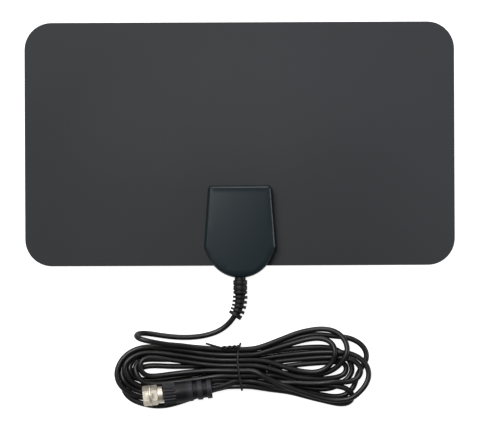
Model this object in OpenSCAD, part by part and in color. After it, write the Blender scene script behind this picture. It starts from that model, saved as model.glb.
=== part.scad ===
// Flat indoor TV antenna. It lies on its back, front up, with its tied cable below it.
// X runs to the right, Y to the panel's top, Z up. The origin is on the floor, in the
// middle of the panel and its housing.

/* [Panel] */
// Width of the film sheet
film_w = 270; // [220:1:400]
// Height of the film sheet
film_h = 153; // [130:1:260]
// Corner radius of the film sheet
film_corner_r = 17; // [4:0.5:30]
// Thickness of the front film
front_film_t = 0.35; // [0.2:0.05:0.8]
// Thickness of the rear film
rear_film_t = 0.35; // [0.25:0.05:0.8]

/* [Foil] */
// Thickness of the foil
foil_t = 0.1; // [0.05:0.01:0.15]
// Distance of the foil from the sheet's edge
foil_margin = 12; // [6:1:20]
// Width of the foil's band
foil_band = 14; // [8:1:20]
// Distance of the foil loop from the middle line
foil_inner_x = 28; // [26:1:40]
// Outer corner radius of the foil loop
foil_corner_r = 8; // [4:0.5:14]
// Width of the feed strip that runs to the rivet
foil_feed_w = 7; // [5:0.5:10]
// Gap round the foil in its pocket
foil_gap = 0.15; // [0.1:0.05:0.4]

/* [Housing] */
// Length of the housing
housing_h = 58.2; // [54:0.2:70]
// Width of the housing at its shoulders
housing_w = 45.4; // [40:0.2:52]
// How far each side draws in from the shoulder to the top edge
housing_taper = 2.6; // [1:0.1:4]
// Height of the shoulder centres over the lower end
housing_shoulder_h = 20; // [18:0.5:24]
// How much smaller the lower end's radius is than half the width
housing_round_inset = 1; // [0.4:0.1:2]
// Radius of the shoulders
housing_shoulder_r = 5; // [4:0.5:7]
// Radius of the upper corners
housing_corner_r = 2.5; // [2.2:0.1:4]
// How far the housing reaches below the sheet
housing_overhang = 7.7; // [7:0.1:9]
// Thickness of the rear cover
rear_t = 2; // [1.8:0.1:3]
// Height of the front cover over the sheet
front_h = 7.5; // [7:0.1:10]
// Thickness of the front cover's side wall
wall = 1.8; // [1.4:0.1:2.1]
// How far the front cover's side wall leans in on its way up
wall_draft = 0.6; // [0.2:0.1:0.8]
// Thickness of the front cover's face
face_t = 1.5; // [1.2:0.1:2]
// Chamfer round the face
rim_chamfer = 1; // [0.4:0.1:1.2]
// Chamfer round the back
rear_chamfer = 0.4; // [0.2:0.1:0.8]
// Gap between the sheet's lower edge and the rear cover's rim
rim_gap = 0.3; // [0.1:0.1:0.6]

/* [Screws] */
// Diameter of the screws
screw_d = 2; // [1.6:0.1:2.6]
// Length of the screws under the head
screw_l = 6; // [5:0.5:7]
// Diameter of the screw heads
screw_head_d = 3.8; // [3.4:0.1:4.4]
// Height of the screw heads
screw_head_t = 1; // [0.8:0.1:1.2]
// Depth of the cross in the heads
screw_cross_depth = 0.6; // [0.4:0.1:0.7]
// Width of the cross in the heads
screw_cross_w = 0.5; // [0.4:0.1:0.7]
// Gap round a screw head and in the holes it passes
screw_gap = 0.2; // [0.1:0.05:0.3]
// Gap round a screw in its pillar
screw_bite_gap = 0.05; // [0.02:0.01:0.1]
// Diameter of the pillars that take the screws
pillar_d = 5; // [4.4:0.1:5.4]
// Distance of the upper screws from the housing's side at its top edge
screw_upper_inset = 5.6; // [5:0.1:7]
// Distance of the upper screws from the housing's top edge
screw_upper_drop = 6.9; // [6:0.1:9]
// Distance of the lower screws from the housing's side at its shoulders
screw_lower_inset = 7.7; // [6:0.1:8.4]
// Height of the lower screws over the lower end
screw_lower_h = 16.4; // [16:0.1:17]

/* [Circuit] */
// Gap between the circuit board and the lower screws' pillars
board_gap = 0.5; // [0.3:0.1:1.5]
// Height of the circuit board
board_h = 18; // [17:0.1:20]
// Thickness of the circuit board
board_t = 1; // [0.8:0.1:1.2]
// Height of the board's lower edge over the housing's lower end
board_lift = 14.3; // [14:0.1:15]
// Distance of the rivets from the board's sides
rivet_inset = 2.5; // [2.2:0.1:3]
// Distance of the rivets from the board's top edge
rivet_drop = 6; // [5:0.1:7]
// Diameter of the rivet shanks
rivet_d = 2; // [1.6:0.1:2.4]
// Diameter of the hole through the rivets
rivet_bore_d = 1.2; // [0.8:0.1:1.3]
// Diameter of the rivet heads
rivet_head_d = 3.6; // [3:0.1:4]
// Thickness of the rivet heads
rivet_head_t = 0.4; // [0.3:0.05:0.5]
// Gap round the rivets
rivet_gap = 0.1; // [0.05:0.05:0.2]
// Outer diameter of the transformer core
core_d = 6; // [5:0.1:6.5]
// Diameter of the hole in the core
core_hole_d = 3; // [2.6:0.1:3.4]
// Height of the core
core_h = 2; // [1.5:0.1:2.2]
// Thickness of the winding wire
turn_wire = 0.3; // [0.2:0.05:0.35]
// Turns of the winding
turn_count = 9; // [5:1:11]
// Length of a chip capacitor
chip_l = 1.6; // [1:0.1:2]
// Width of a chip capacitor
chip_w = 0.8; // [0.5:0.1:1]
// Height of a chip capacitor
chip_h = 0.7; // [0.4:0.1:0.8]
// Length of a capacitor's end caps
chip_cap_l = 0.3; // [0.2:0.05:0.4]
// Thickness of a capacitor's end caps
chip_cap_t = 0.04; // [0.02:0.01:0.06]
// Radius of the solder joints
solder_r = 1; // [0.8:0.1:1.2]

/* [Cable] */
// Diameter of the cable
cable_d = 3.4; // [3:0.1:3.8]
// Diameter of the inner insulation
insulation_d = 2; // [1.6:0.1:2.2]
// Diameter of the braid under the jacket
braid_d = 2.6; // [2.4:0.1:2.8]
// Diameter of the inner conductor in the housing
conductor_d = 0.5; // [0.4:0.05:0.6]
// Diameter of the pigtail gathered from the braid
pigtail_d = 0.9; // [0.7:0.1:1.1]

/* [Strain relief] */
// Length of the straight stretch, from the housing
relief_straight = 10; // [9.5:0.1:14]
// Radius of the first bend
relief_bend_r = 35; // [30:1:60]
// Length of the first bend
relief_bend_l = 7.4; // [6:0.1:9]
// Radius of the second bend
relief_end_bend_r = 18; // [15:1:40]
// Distance of the first free fin from the straight stretch
relief_fin_start = 2; // [1.6:0.1:2.6]
// Distance between fins
relief_pitch = 2.85; // [2.6:0.05:3.4]
// Thickness of a fin
relief_fin_t = 1.3; // [0.9:0.1:1.6]
// Diameter of the first free fin
relief_fin_d = 8.7; // [8:0.1:9]
// Diameter of the last fin
relief_last_fin_d = 8.1; // [7:0.1:8.6]
// Diameter of the thick collars on the straight stretch
relief_collar_d = 8.8; // [8:0.1:9]
// Diameter of the grooves between the collars
relief_groove_d = 8; // [7.4:0.1:8.2]
// Diameter of the neck in the housing's wall
relief_neck_d = 7; // [6.4:0.1:7.2]
// Diameter of the core under the first free fin
relief_core_d = 6.2; // [5.6:0.1:7]
// Diameter of the core at the far end
relief_tip_d = 4.8; // [4.6:0.1:5.4]
// Diameter of the block at the far end
relief_block_d = 7.3; // [6.6:0.1:8]
// Length of the block at the far end
relief_block_t = 2.3; // [1.6:0.1:3]
// Gap between the last fin and the block
relief_block_gap = 1.3; // [0.8:0.1:2]
// Length over which each collar rises from its groove
relief_collar_ease = 0.2; // [0.1:0.05:0.3]
// Width of the flange that the housing holds
relief_flange_w = 11; // [9:0.1:12]
// Thickness of the flange that the housing holds
relief_flange_t = 2; // [1.5:0.1:2.5]
// Gap round the neck and the flange
relief_gap = 0.1; // [0.05:0.05:0.2]

/* [Tied cable] */
// Distance between the middles of the two lobes
hank_span = 115; // [100:1:140]
// Radius of the left lobe
hank_left_r = 21.7; // [19:0.1:24]
// Radius of the right lobe
hank_right_r = 24.8; // [22:0.1:27]
// Width of the waist under the tie
hank_waist_w = 27; // [24:0.5:32]
// Height of the tied cable
hank_t = 8.5; // [7.5:0.1:10]
// Thickness of the tie's wire
tie_d = 1.2; // [1:0.1:1.6]
// Length of the twisted stretch of the tie
tie_twist_l = 10; // [6:0.5:14]
// Turns of the twisted stretch
tie_turns = 4; // [2:0.5:6]
// Length of the tie's free tail
tie_tail_l = 9.4; // [5:0.1:14]
// Gap between the tie and the cable
tie_gap = 0.05; // [0.02:0.01:0.2]

/* [Connector] */
// Length of the moulded boot
boot_l = 31; // [28:0.5:36]
// Diameter of the boot at the nut
boot_front_d = 13.8; // [12.8:0.1:15]
// Diameter of the boot at the cable
boot_rear_d = 11.8; // [10:0.1:13]
// Length of the flutes on the boot
flute_l = 7.8; // [5:0.1:10]
// Number of flutes round the boot
flute_count = 20; // [12:1:24]
// Diameter of the flutes
flute_d = 1.2; // [0.8:0.1:1.4]
// Width of the rings and grooves at the boot's rear
boot_ring_w = 2.8; // [2:0.1:3.4]
// Depth of the grooves at the boot's rear
boot_groove_depth = 0.6; // [0.3:0.1:1]
// Diameter of the connector body's neck
neck_d = 7; // [6.8:0.05:7.2]
// Diameter of the flange that keeps the nut on
neck_flange_d = 8.3; // [8:0.05:8.5]
// Thickness of the flange that keeps the nut on
neck_flange_t = 1.6; // [1:0.1:2]
// Diameter of the hole in the connector body
body_bore_d = 5; // [4.6:0.1:5.4]
// How deep the connector body sits in the boot
body_depth = 15; // [10:0.5:20]
// Diameter of the centre contact in the insulator
contact_root_d = 1.4; // [1.2:0.05:1.8]
// Diameter of the centre contact
contact_d = 1; // [0.8:0.05:1.1]
// Free length of the centre contact
contact_l = 8; // [6:0.1:8.5]
// Size of the nut across its flats
nut_flats = 11.1; // [10.6:0.1:11.4]
// Length of the nut's hexagon
nut_hex_l = 9.5; // [8.5:0.1:10]
// Diameter of the ring round the hexagon
nut_ring_d = 13.4; // [13.2:0.1:13.8]
// Width of the ring round the hexagon
nut_ring_w = 1.9; // [1.4:0.1:2.4]
// Distance of the ring from the nut's front
nut_ring_drop = 3.8; // [3:0.1:5]
// Diameter of the nut's rear collar
nut_collar_d = 9.9; // [9.2:0.1:10.6]
// Length of the nut's rear collar
nut_collar_l = 3.1; // [2.6:0.1:3.4]
// Diameter of the nut's bore over the thread crests
nut_bore_d = 8.8; // [8.7:0.05:9]
// Thickness of the nut's inner web
nut_web_t = 1.8; // [1.4:0.1:2]
// Radial clearance of the nut on the neck
nut_fit = 0.06; // [0.03:0.01:0.1]
// End play of the nut on either side of its web
nut_play = 0.3; // [0.2:0.05:0.4]
// Clearance between the connector and the cable it lies in
bed_gap = 0.35; // [0.3:0.05:0.6]

/* [Hidden] */
$fn = 64;
overrun = 0.5;
arc_step = 6;
slab = 0.01;

film_front_z = rear_t + rear_film_t + front_film_t;
film_mid_z = rear_t + rear_film_t;
housing_t = film_front_z + front_h;
ceiling_z = housing_t - face_t;
cable_z = housing_t / 2;

total_h = film_h + housing_overhang;
film_top_y = total_h / 2;
film_bottom_y = film_top_y - film_h;
film_y = (film_top_y + film_bottom_y) / 2;
housing_bottom_y = -total_h / 2;
housing_top_y = housing_bottom_y + housing_h;
housing_top_w = housing_w - 2 * housing_taper;
housing_bottom_r = housing_w / 2 - housing_round_inset;

screw_upper_x = housing_top_w / 2 - screw_upper_inset;
screw_lower_x = housing_w / 2 - screw_lower_inset;
screw_places = [
    [-screw_upper_x, housing_top_y - screw_upper_drop],
    [screw_upper_x, housing_top_y - screw_upper_drop],
    [-screw_lower_x, housing_bottom_y + screw_lower_h],
    [screw_lower_x, housing_bottom_y + screw_lower_h]
];
screw_seat_z = screw_head_t + screw_gap / 2;

board_w = 2 * (screw_lower_x - pillar_d / 2 - board_gap);
board_bottom_y = housing_bottom_y + board_lift;
board_top_y = board_bottom_y + board_h;
board_y = (board_bottom_y + board_top_y) / 2;
board_top_z = film_front_z + board_t;
rivet_x = board_w / 2 - rivet_inset;
rivet_y = board_top_y - rivet_drop;
rivet_places = [[-rivet_x, rivet_y], [rivet_x, rivet_y]];
core_y = board_y;
core_z = board_top_z + turn_wire;
chip_pitch = chip_l * 2;
chip_count = 3;
chip_y = board_top_y - chip_l * 1.5;

// Where the parts of the cable end in the housing, from the flange inwards
flange_reach = housing_bottom_r - wall;
flange_y = housing_bottom_y + wall + flange_reach + relief_gap
    - sqrt(pow(flange_reach, 2) - pow(relief_flange_w / 2, 2));
flange_inner_y = flange_y + relief_flange_t;
jacket_end_y = (flange_inner_y + board_bottom_y) / 2 + cable_d / 2;
insulation_end_y = board_bottom_y + insulation_d;
conductor_bend_r = conductor_d;
conductor_end_y = insulation_end_y + insulation_d;
pigtail_start = [braid_d / 2, jacket_end_y + pigtail_d / 2, cable_z];
pigtail_end = [board_w / 6, insulation_end_y + solder_r, board_top_z + pigtail_d / 2];
conductor_pad = [0, conductor_end_y];
pigtail_pad = [pigtail_end[0], pigtail_end[1]];

// Stations along the strain relief, from the housing's lower end
relief_fin_count = 4;
relief_arc_change = relief_straight + relief_bend_l;
relief_first_fin = relief_straight + relief_fin_start;
relief_block_at = relief_first_fin + relief_pitch * (relief_fin_count - 1) + relief_fin_t / 2
    + relief_block_gap;
relief_end = relief_block_at + relief_block_t;
relief_collar_shares = [[0.14, 0.42], [0.49, 0.76], [0.84, 0.98]];
relief_sides = 12;
relief_turn_1 = relief_bend_l / relief_bend_r * 180 / PI;

// Middles of the lobes and of the waist between them
hank_y = -136;
hank_x = 0.8;
left_lobe = [hank_x - hank_span / 2, hank_y - 3.6];
right_lobe = [hank_x + hank_span / 2, hank_y];
waist = [-1.2, hank_y - 0.3];
tie_drop = tie_d + 2 * tie_gap;
tie_tail_turn = 15;
cord_sides = 8;

// Connector, from the cable's end of the boot to the front of the nut
conn_x = -17.6;
conn_y = -149.5;
conn_z = 10.4;
conn_yaw = 6.1;
nut_rear = boot_l + nut_play;
web_front = nut_rear + nut_web_t;
neck_end = web_front + nut_play;
face_at = neck_end + neck_flange_t;
hex_rear = nut_rear + nut_collar_l;
nut_front = hex_rear + nut_hex_l;
nut_corner_r = nut_flats / sqrt(3);
nut_chamfer = (nut_corner_r - nut_flats / 2) * 1.1;
nut_ring_r = nut_ring_d / 2;
nut_ring_ease = nut_ring_w / 4;
body_rear = boot_l - body_depth;

// Route of the lead from the strain relief into the tied cable
lead_route = [
    [-8, -110, 3.2], [-14, -114, 2], [-20, -116, 1.8], [-27, -117.3, 1.8], [-36, -117.6, 1.8],
    [-44, -117.1, 1.8], [-51, -116.1, 1.8], [-57, -115.1, 1.8], [-61.7, -114.5, 2.5],
    [-65, -114.8, 4.8], [-66.3, -116.1, 8], [-65.1, -117.5, 11.2], [-61.8, -118.6, 13.4],
    [-57.4, -119.6, 13.5], [-51, -120.9, 11.6], [-45, -122, 9.8]
];
// Route of the last stretch from the tied cable to the connector
end_route = [[-14.5, -149.1, 10], [-10.5, -148.4, 8.8], [-7, -147.6, 7.2], [-3.5, -146.8, 5.8]];

// Outward angle of the line that touches two circles, each given as x, y and radius
function touch_angle(a, b) =
    atan2(b[1] - a[1], b[0] - a[0]) - acos((a[2] - b[2]) / norm([b[0] - a[0], b[1] - a[1]]));

// Outline of a band stretched round a ring of circles, counter-clockwise
function band_outline(circles) = [
    for (i = [0:len(circles) - 1])
        let (
            before = circles[(i + len(circles) - 1) % len(circles)],
            here = circles[i],
            after = circles[(i + 1) % len(circles)],
            start = touch_angle(before, here),
            sweep = (touch_angle(here, after) - start + 720) % 360,
            steps = max(1, ceil(sweep / arc_step))
        )
        for (k = [0:steps])
            [here[0] + here[2] * cos(start + sweep * k / steps),
             here[1] + here[2] * sin(start + sweep * k / steps)]
];

// Circles that the housing's outline runs round, drawn in by an inset
function housing_circles(inset) =
    let (
        shoulder_x = housing_w / 2 - housing_shoulder_r,
        corner_x = housing_top_w / 2 - housing_corner_r,
        bottom = [0, housing_bottom_y + housing_bottom_r, housing_bottom_r - inset],
        shoulder_y = housing_bottom_y + housing_shoulder_h,
        corner_y = housing_top_y - housing_corner_r
    )
    [
        bottom,
        [shoulder_x, shoulder_y, housing_shoulder_r - inset],
        [corner_x, corner_y, housing_corner_r - inset],
        [-corner_x, corner_y, housing_corner_r - inset],
        [-shoulder_x, shoulder_y, housing_shoulder_r - inset]
    ];

module housing_outline(inset = 0) {
    polygon(band_outline(housing_circles(inset)));
}

module rounded_rectangle(w, h, r) {
    square([w - 2 * r, h], center = true);
    square([w, h - 2 * r], center = true);
    for (x = [-1, 1], y = [-1, 1])
        translate([x * (w / 2 - r), y * (h / 2 - r)])
            circle(r);
}

// Foil loop of one side with the feed strip that runs to its rivet, grown by a gap
module foil_outline(side, gap = 0) {
    loop_w = film_w / 2 - foil_margin - foil_inner_x;
    loop_h = film_h - 2 * foil_margin;
    loop_x = foil_inner_x + loop_w / 2;
    feed_start = rivet_x - foil_feed_w / 2 - gap;
    translate([side * loop_x, film_y])
        difference() {
            rounded_rectangle(loop_w + 2 * gap, loop_h + 2 * gap, foil_corner_r + gap);
            square([loop_w - 2 * foil_band - 2 * gap, loop_h - 2 * foil_band - 2 * gap],
                center = true);
        }
    feed_end = foil_inner_x + foil_band / 2;
    translate([side * (feed_start + feed_end) / 2, rivet_y])
        square([feed_end - feed_start, foil_feed_w + 2 * gap], center = true);
}

module film_holes() {
    for (place = screw_places)
        translate(place)
            circle(screw_d / 2 + screw_gap);
    for (place = rivet_places)
        translate(place)
            circle(rivet_d / 2 + rivet_gap);
}

module film_sheet(t) {
    linear_extrude(t)
        difference() {
            translate([0, film_y])
                rounded_rectangle(film_w, film_h, film_corner_r);
            film_holes();
        }
}

module front_film() {
    color([0.26, 0.27, 0.28])
        translate([0, 0, film_mid_z])
            film_sheet(front_film_t);
}

module rear_film() {
    color([0.22, 0.23, 0.24])
        difference() {
            translate([0, 0, rear_t])
                film_sheet(rear_film_t);
            for (side = [-1, 1])
                translate([0, 0, film_mid_z - foil_t])
                    linear_extrude(foil_t + overrun)
                        foil_outline(side, foil_gap);
        }
}

module foil_element(side) {
    color([0.75, 0.76, 0.78])
        translate([0, 0, film_mid_z - foil_t])
            linear_extrude(foil_t)
                difference() {
                    foil_outline(side);
                    film_holes();
                }
}

// Place and heading of the strain relief's axis at a station, heading turned from -Y to -X
function relief_pose(s) =
    let (
        y0 = housing_bottom_y - relief_straight,
        a1 = relief_turn_1,
        x1 = -relief_bend_r * (1 - cos(a1)),
        y1 = y0 - relief_bend_r * sin(a1),
        a2 = a1 + (s - relief_arc_change) / relief_end_bend_r * 180 / PI,
        a = (s - relief_straight) / relief_bend_r * 180 / PI
    )
    s <= relief_straight ? [0, housing_bottom_y - s, 0]
    : s <= relief_arc_change ? [-relief_bend_r * (1 - cos(a)), y0 - relief_bend_r * sin(a), a]
    : [x1 - relief_end_bend_r * (cos(a1) - cos(a2)), y1 - relief_end_bend_r * (sin(a2) - sin(a1)), a2];

// Turns local +Z onto the strain relief's axis at a station, away from the housing
module at_relief(s) {
    pose = relief_pose(s);
    translate([pose[0], pose[1], cable_z])
        rotate([0, 0, -pose[2]])
            rotate([90, 0, 0])
                children();
}

// Round bar along the strain relief's path, from one station to another
module relief_bar(from, to, d_from, d_to) {
    bent_from = max(from, relief_straight);
    bends = ceil((to - bent_from) / (relief_pitch / 2));
    stations = concat(
        from < relief_straight ? [from] : [],
        [for (i = [0:bends]) bent_from + (to - bent_from) * i / bends]
    );
    poses = [for (s = stations) relief_pose(s)];
    swept_tube(
        [for (pose = poses) [pose[0], pose[1], cable_z]],
        [for (pose = poses) [-sin(pose[2]), -cos(pose[2]), 0]],
        [for (s = stations) d_from + (d_to - d_from) * max(0, s - bent_from) / (to - bent_from)],
        relief_sides
    );
}

// Half-round notch of both covers for the strain relief's neck
module relief_notch() {
    translate([0, housing_bottom_y - overrun, cable_z])
        rotate([-90, 0, 0])
            cylinder(h = wall * 2 + overrun, d = relief_neck_d + 2 * relief_gap);
}

module front_cover() {
    color([0.19, 0.22, 0.23])
        difference() {
            union() {
                difference() {
                    hull() {
                        translate([0, 0, film_front_z])
                            linear_extrude(slab)
                                housing_outline();
                        translate([0, 0, housing_t - rim_chamfer - slab])
                            linear_extrude(slab)
                                housing_outline(wall_draft);
                        translate([0, 0, housing_t - slab])
                            linear_extrude(slab)
                                housing_outline(wall_draft + rim_chamfer);
                    }
                    translate([0, 0, film_front_z - overrun])
                        linear_extrude(front_h - face_t + overrun)
                            housing_outline(wall);
                }
                for (place = screw_places)
                    translate([place[0], place[1], film_front_z])
                        cylinder(h = front_h - face_t / 2, d = pillar_d);
            }
            for (place = screw_places)
                translate([place[0], place[1], film_front_z - overrun])
                    cylinder(h = screw_l + overrun - (film_front_z - screw_seat_z) + screw_gap,
                        d = screw_d + 2 * screw_bite_gap);
            relief_notch();
        }
}

module rear_cover() {
    color([0.15, 0.17, 0.18])
        difference() {
            union() {
                hull() {
                    linear_extrude(slab)
                        housing_outline(rear_chamfer);
                    translate([0, 0, rear_chamfer])
                        linear_extrude(rear_t - rear_chamfer)
                            housing_outline();
                }
                translate([0, 0, rear_t])
                    linear_extrude(film_front_z - rear_t)
                        rear_rim();
            }
            for (place = screw_places)
                translate([place[0], place[1], -overrun]) {
                    cylinder(h = rear_t + 2 * overrun, d = screw_d + 2 * screw_gap);
                    cylinder(h = screw_seat_z + overrun, d = screw_head_d + 2 * screw_gap);
                }
            for (place = rivet_places)
                translate([place[0], place[1], rear_t - rivet_head_t - rivet_gap])
                    cylinder(h = rivet_head_t + rivet_gap + overrun,
                        d = rivet_head_d + 2 * rivet_gap);
            relief_notch();
        }
}

// Rim that closes the gap between the covers below the sheet
module rear_rim() {
    rim_h = film_bottom_y - rim_gap - housing_bottom_y;
    intersection() {
        difference() {
            housing_outline();
            housing_outline(wall);
        }
        translate([0, housing_bottom_y + rim_h / 2])
            square([housing_w, rim_h], center = true);
    }
}

module screw() {
    difference() {
        union() {
            translate([0, 0, screw_seat_z - screw_head_t])
                cylinder(h = screw_head_t, d = screw_head_d);
            translate([0, 0, screw_seat_z])
                cylinder(h = screw_l, d = screw_d);
        }
        for (turn = [0, 90])
            translate([0, 0, screw_seat_z - screw_head_t])
                rotate([0, 0, turn])
                    cube([screw_d, screw_cross_w, 2 * screw_cross_depth], center = true);
    }
}

module housing_screws() {
    color([0.35, 0.35, 0.36])
        for (place = screw_places)
            translate(place)
                screw();
}

module circuit_board() {
    color([0.1, 0.35, 0.2])
        translate([0, 0, film_front_z])
            linear_extrude(board_t)
                difference() {
                    translate([0, board_y])
                        square([board_w, board_h], center = true);
                    for (place = rivet_places)
                        translate(place)
                            circle(rivet_d / 2 + rivet_gap);
                }
}

module balun_core() {
    color([0.2, 0.2, 0.2])
        translate([0, core_y, core_z])
            linear_extrude(core_h)
                difference() {
                    circle(d = core_d);
                    circle(d = core_hole_d);
                }
}

module balun_winding() {
    ring = (core_d - core_hole_d) / 2;
    color([0.72, 0.4, 0.15])
        for (i = [0:turn_count - 1])
            translate([0, core_y, core_z + core_h / 2])
                rotate([90, 0, 360 * (i + 0.5) / turn_count])
                    translate([(core_d + core_hole_d) / 4, 0, -turn_wire / 2])
                        linear_extrude(turn_wire)
                            difference() {
                                square([ring + 2 * turn_wire, core_h + 2 * turn_wire], center = true);
                                square([ring, core_h], center = true);
                            }
}

module chip_capacitors() {
    color([0.75, 0.65, 0.5])
        for (i = [0:chip_count - 1])
            translate([(i - (chip_count - 1) / 2) * chip_pitch, chip_y, board_top_z + chip_h / 2]) {
                cube([chip_l, chip_w, chip_h - 2 * chip_cap_t], center = true);
                for (side = [-1, 1])
                    translate([side * (chip_l - chip_cap_l) / 2, 0, 0])
                        cube([chip_cap_l, chip_w, chip_h], center = true);
            }
}

module rivet() {
    translate([0, 0, rear_t - rivet_head_t])
        difference() {
            union() {
                cylinder(h = rivet_head_t, d = rivet_head_d);
                cylinder(h = board_top_z - rear_t + 2 * rivet_head_t, d = rivet_d);
                translate([0, 0, board_top_z - rear_t + rivet_head_t])
                    cylinder(h = rivet_head_t, d = rivet_head_d);
            }
            translate([0, 0, -overrun])
                cylinder(h = board_top_z - rear_t + 2 * rivet_head_t + 2 * overrun, d = rivet_bore_d);
        }
}

module contact_rivets() {
    color([0.78, 0.72, 0.5])
        for (place = rivet_places)
            translate(place)
                rivet();
}

// Round bar between two points
module rod(from, to, d) {
    run = to - from;
    flat = norm([run[0], run[1]]);
    translate(from)
        rotate([0, atan2(flat, run[2]), atan2(run[1], run[0])])
            cylinder(h = norm(run), d = d);
}

module pigtail() {
    rod(pigtail_start, pigtail_end, pigtail_d);
}

module conductor() {
    bend_y = conductor_end_y - conductor_bend_r;
    translate([0, insulation_end_y, cable_z])
        rotate([-90, 0, 0])
            cylinder(h = bend_y - insulation_end_y, d = conductor_d);
    translate([0, bend_y, cable_z - conductor_bend_r])
        rotate([90, 0, 90])
            rotate_extrude(angle = 90)
                translate([conductor_bend_r, 0])
                    circle(d = conductor_d);
    translate([0, conductor_end_y, board_top_z])
        cylinder(h = cable_z - conductor_bend_r - board_top_z, d = conductor_d);
}

module solder_joints() {
    color([0.8, 0.8, 0.82])
        difference() {
            for (pad = [conductor_pad, pigtail_pad])
                translate([pad[0], pad[1], board_top_z])
                    difference() {
                        sphere(solder_r);
                        translate([-solder_r * 2, -solder_r * 2, -solder_r * 4])
                            cube(solder_r * 4);
                    }
            conductor();
            pigtail();
        }
}

module inner_conductor() {
    color([0.72, 0.45, 0.2])
        conductor();
}

module cable_insulation() {
    color([0.92, 0.92, 0.9])
        translate([0, jacket_end_y, cable_z])
            rotate([-90, 0, 0])
                cylinder(h = insulation_end_y - jacket_end_y, d = insulation_d);
}

module cable_shield() {
    color([0.75, 0.75, 0.76])
        difference() {
            union() {
                translate([0, jacket_end_y, cable_z])
                    rotate([-90, 0, 0])
                        cylinder(h = pigtail_d, d = braid_d);
                pigtail();
            }
            translate([0, jacket_end_y - overrun, cable_z])
                rotate([-90, 0, 0])
                    cylinder(h = pigtail_d + 4 * overrun, d = insulation_d);
        }
}

// Part of the strain relief on its straight stretch, turned round its axis
module relief_collars() {
    collar_groove_r = relief_groove_d / 2;
    profile = [
        [0, -relief_straight],
        [relief_core_d / 2, -relief_straight],
        for (i = [len(relief_collar_shares) - 1:-1:0])
            each [
                [collar_groove_r, -relief_collar_shares[i][1] * relief_straight],
                [relief_collar_d / 2, relief_collar_ease - relief_collar_shares[i][1] * relief_straight],
                [relief_collar_d / 2, -relief_collar_ease - relief_collar_shares[i][0] * relief_straight],
                [collar_groove_r, -relief_collar_shares[i][0] * relief_straight]
            ],
        [relief_neck_d / 2, -relief_collar_shares[0][0] * relief_straight],
        [relief_neck_d / 2, flange_y - housing_bottom_y],
        [0, flange_y - housing_bottom_y]
    ];
    translate([0, housing_bottom_y, cable_z])
        rotate([-90, 0, 0])
            rotate_extrude()
                polygon(profile);
}

module relief_flange() {
    flange_h = ceiling_z - rear_t - 2 * relief_gap;
    translate([-relief_flange_w / 2, flange_y, rear_t + relief_gap])
        cube([relief_flange_w, relief_flange_t, flange_h]);
}

module strain_relief() {
    color([0.13, 0.13, 0.13])
        difference() {
            union() {
                relief_collars();
                relief_flange();
                relief_bar(relief_straight - relief_pitch, relief_end, relief_core_d, relief_tip_d);
                for (i = [0:relief_fin_count - 1])
                    at_relief(relief_first_fin + i * relief_pitch - relief_fin_t / 2)
                        cylinder(h = relief_fin_t, d = relief_fin_d
                            + (relief_last_fin_d - relief_fin_d) * i / (relief_fin_count - 1));
                at_relief(relief_block_at)
                    cylinder(h = relief_block_t, d = relief_block_d);
            }
            relief_bar(housing_bottom_y - flange_inner_y - overrun, relief_end + overrun, cable_d,
                cable_d);
        }
}

module cable_tail() {
    color([0.16, 0.16, 0.16])
        relief_bar(housing_bottom_y - jacket_end_y, relief_end, cable_d, cable_d);
}

// Heading of a route at one of its points
function route_heading(p, i) =
    let (
        ahead = p[min(i + 1, len(p) - 1)] - p[i],
        behind = p[i] - p[max(i - 1, 0)],
        both = (norm(ahead) > 0 ? ahead / norm(ahead) : [0, 0, 0])
            + (norm(behind) > 0 ? behind / norm(behind) : [0, 0, 0])
    )
    both / norm(both);

// Direction nearest to u that is square to a heading
function square_to(u, heading) =
    let (v = u - (u * heading) * heading)
    v / norm(v);

// Ring directions carried along a route without a twist
function carried(headings, first) = [
    for (i = 0, u = first; i < len(headings); i = i + 1, u = square_to(u, headings[max(i - 1, 0)]))
        square_to(u, headings[i])
];

// Closed tube through given points, with a heading and a diameter at each
module swept_tube(p, headings, diameters, sides) {
    last = len(p) - 1;
    across = carried(headings, first_across(headings[0]));
    points = [
        for (i = [0:last])
            let (up = cross(headings[i], across[i]))
            for (k = [0:sides - 1])
                p[i] + diameters[i] / 2 * (across[i] * cos(360 * k / sides) + up * sin(360 * k / sides))
    ];
    faces = concat(
        [[for (k = [0:sides - 1]) k]],
        [for (i = [0:last - 1], k = [0:sides - 1])
            let (a = i * sides + k, b = i * sides + (k + 1) % sides)
            [a, a + sides, b + sides, b]],
        [[for (k = [sides - 1:-1:0]) last * sides + k]]
    );
    polyhedron(points, faces);
}

function first_across(heading) =
    abs(heading[2]) < 0.9 ? square_to(cross([0, 0, 1], heading), heading) : square_to([1, 0, 0], heading);

// Tube of one diameter along a route, whose first ring is square to a given heading
module route_tube(p, first_heading, d) {
    headings = [for (i = [0:len(p) - 1]) i == 0 ? first_heading : route_heading(p, i)];
    swept_tube(p, headings, [for (q = p) d], cord_sides);
}

module cable_lead() {
    start = relief_pose(relief_end);
    heading = [-sin(start[2]), -cos(start[2]), 0];
    color([0.16, 0.16, 0.16])
        route_tube(concat([[start[0], start[1], cable_z]], lead_route), heading, cable_d);
}

module cable_end() {
    heading = [cos(conn_yaw), sin(conn_yaw), 0];
    color([0.16, 0.16, 0.16])
        route_tube(concat([[conn_x, conn_y, conn_z]], end_route), heading, cable_d);
}

// Edge of the tied cable from a lobe's outermost point to the waist, in shares of the run
function blend_edge(from, to, steps) = [
    for (i = [0:steps])
        let (share = i / steps, ease = (1 - cos(180 * share)) / 2)
        [from[0] + (to[0] - from[0]) * share, from[1] + (to[1] - from[1]) * ease]
];

function arc(middle, r, start, end) =
    let (steps = ceil((end - start) / arc_step))
    [
        for (k = [0:steps])
            let (a = start + (end - start) * k / steps)
            middle + r * [cos(a), sin(a)]
    ];

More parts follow.
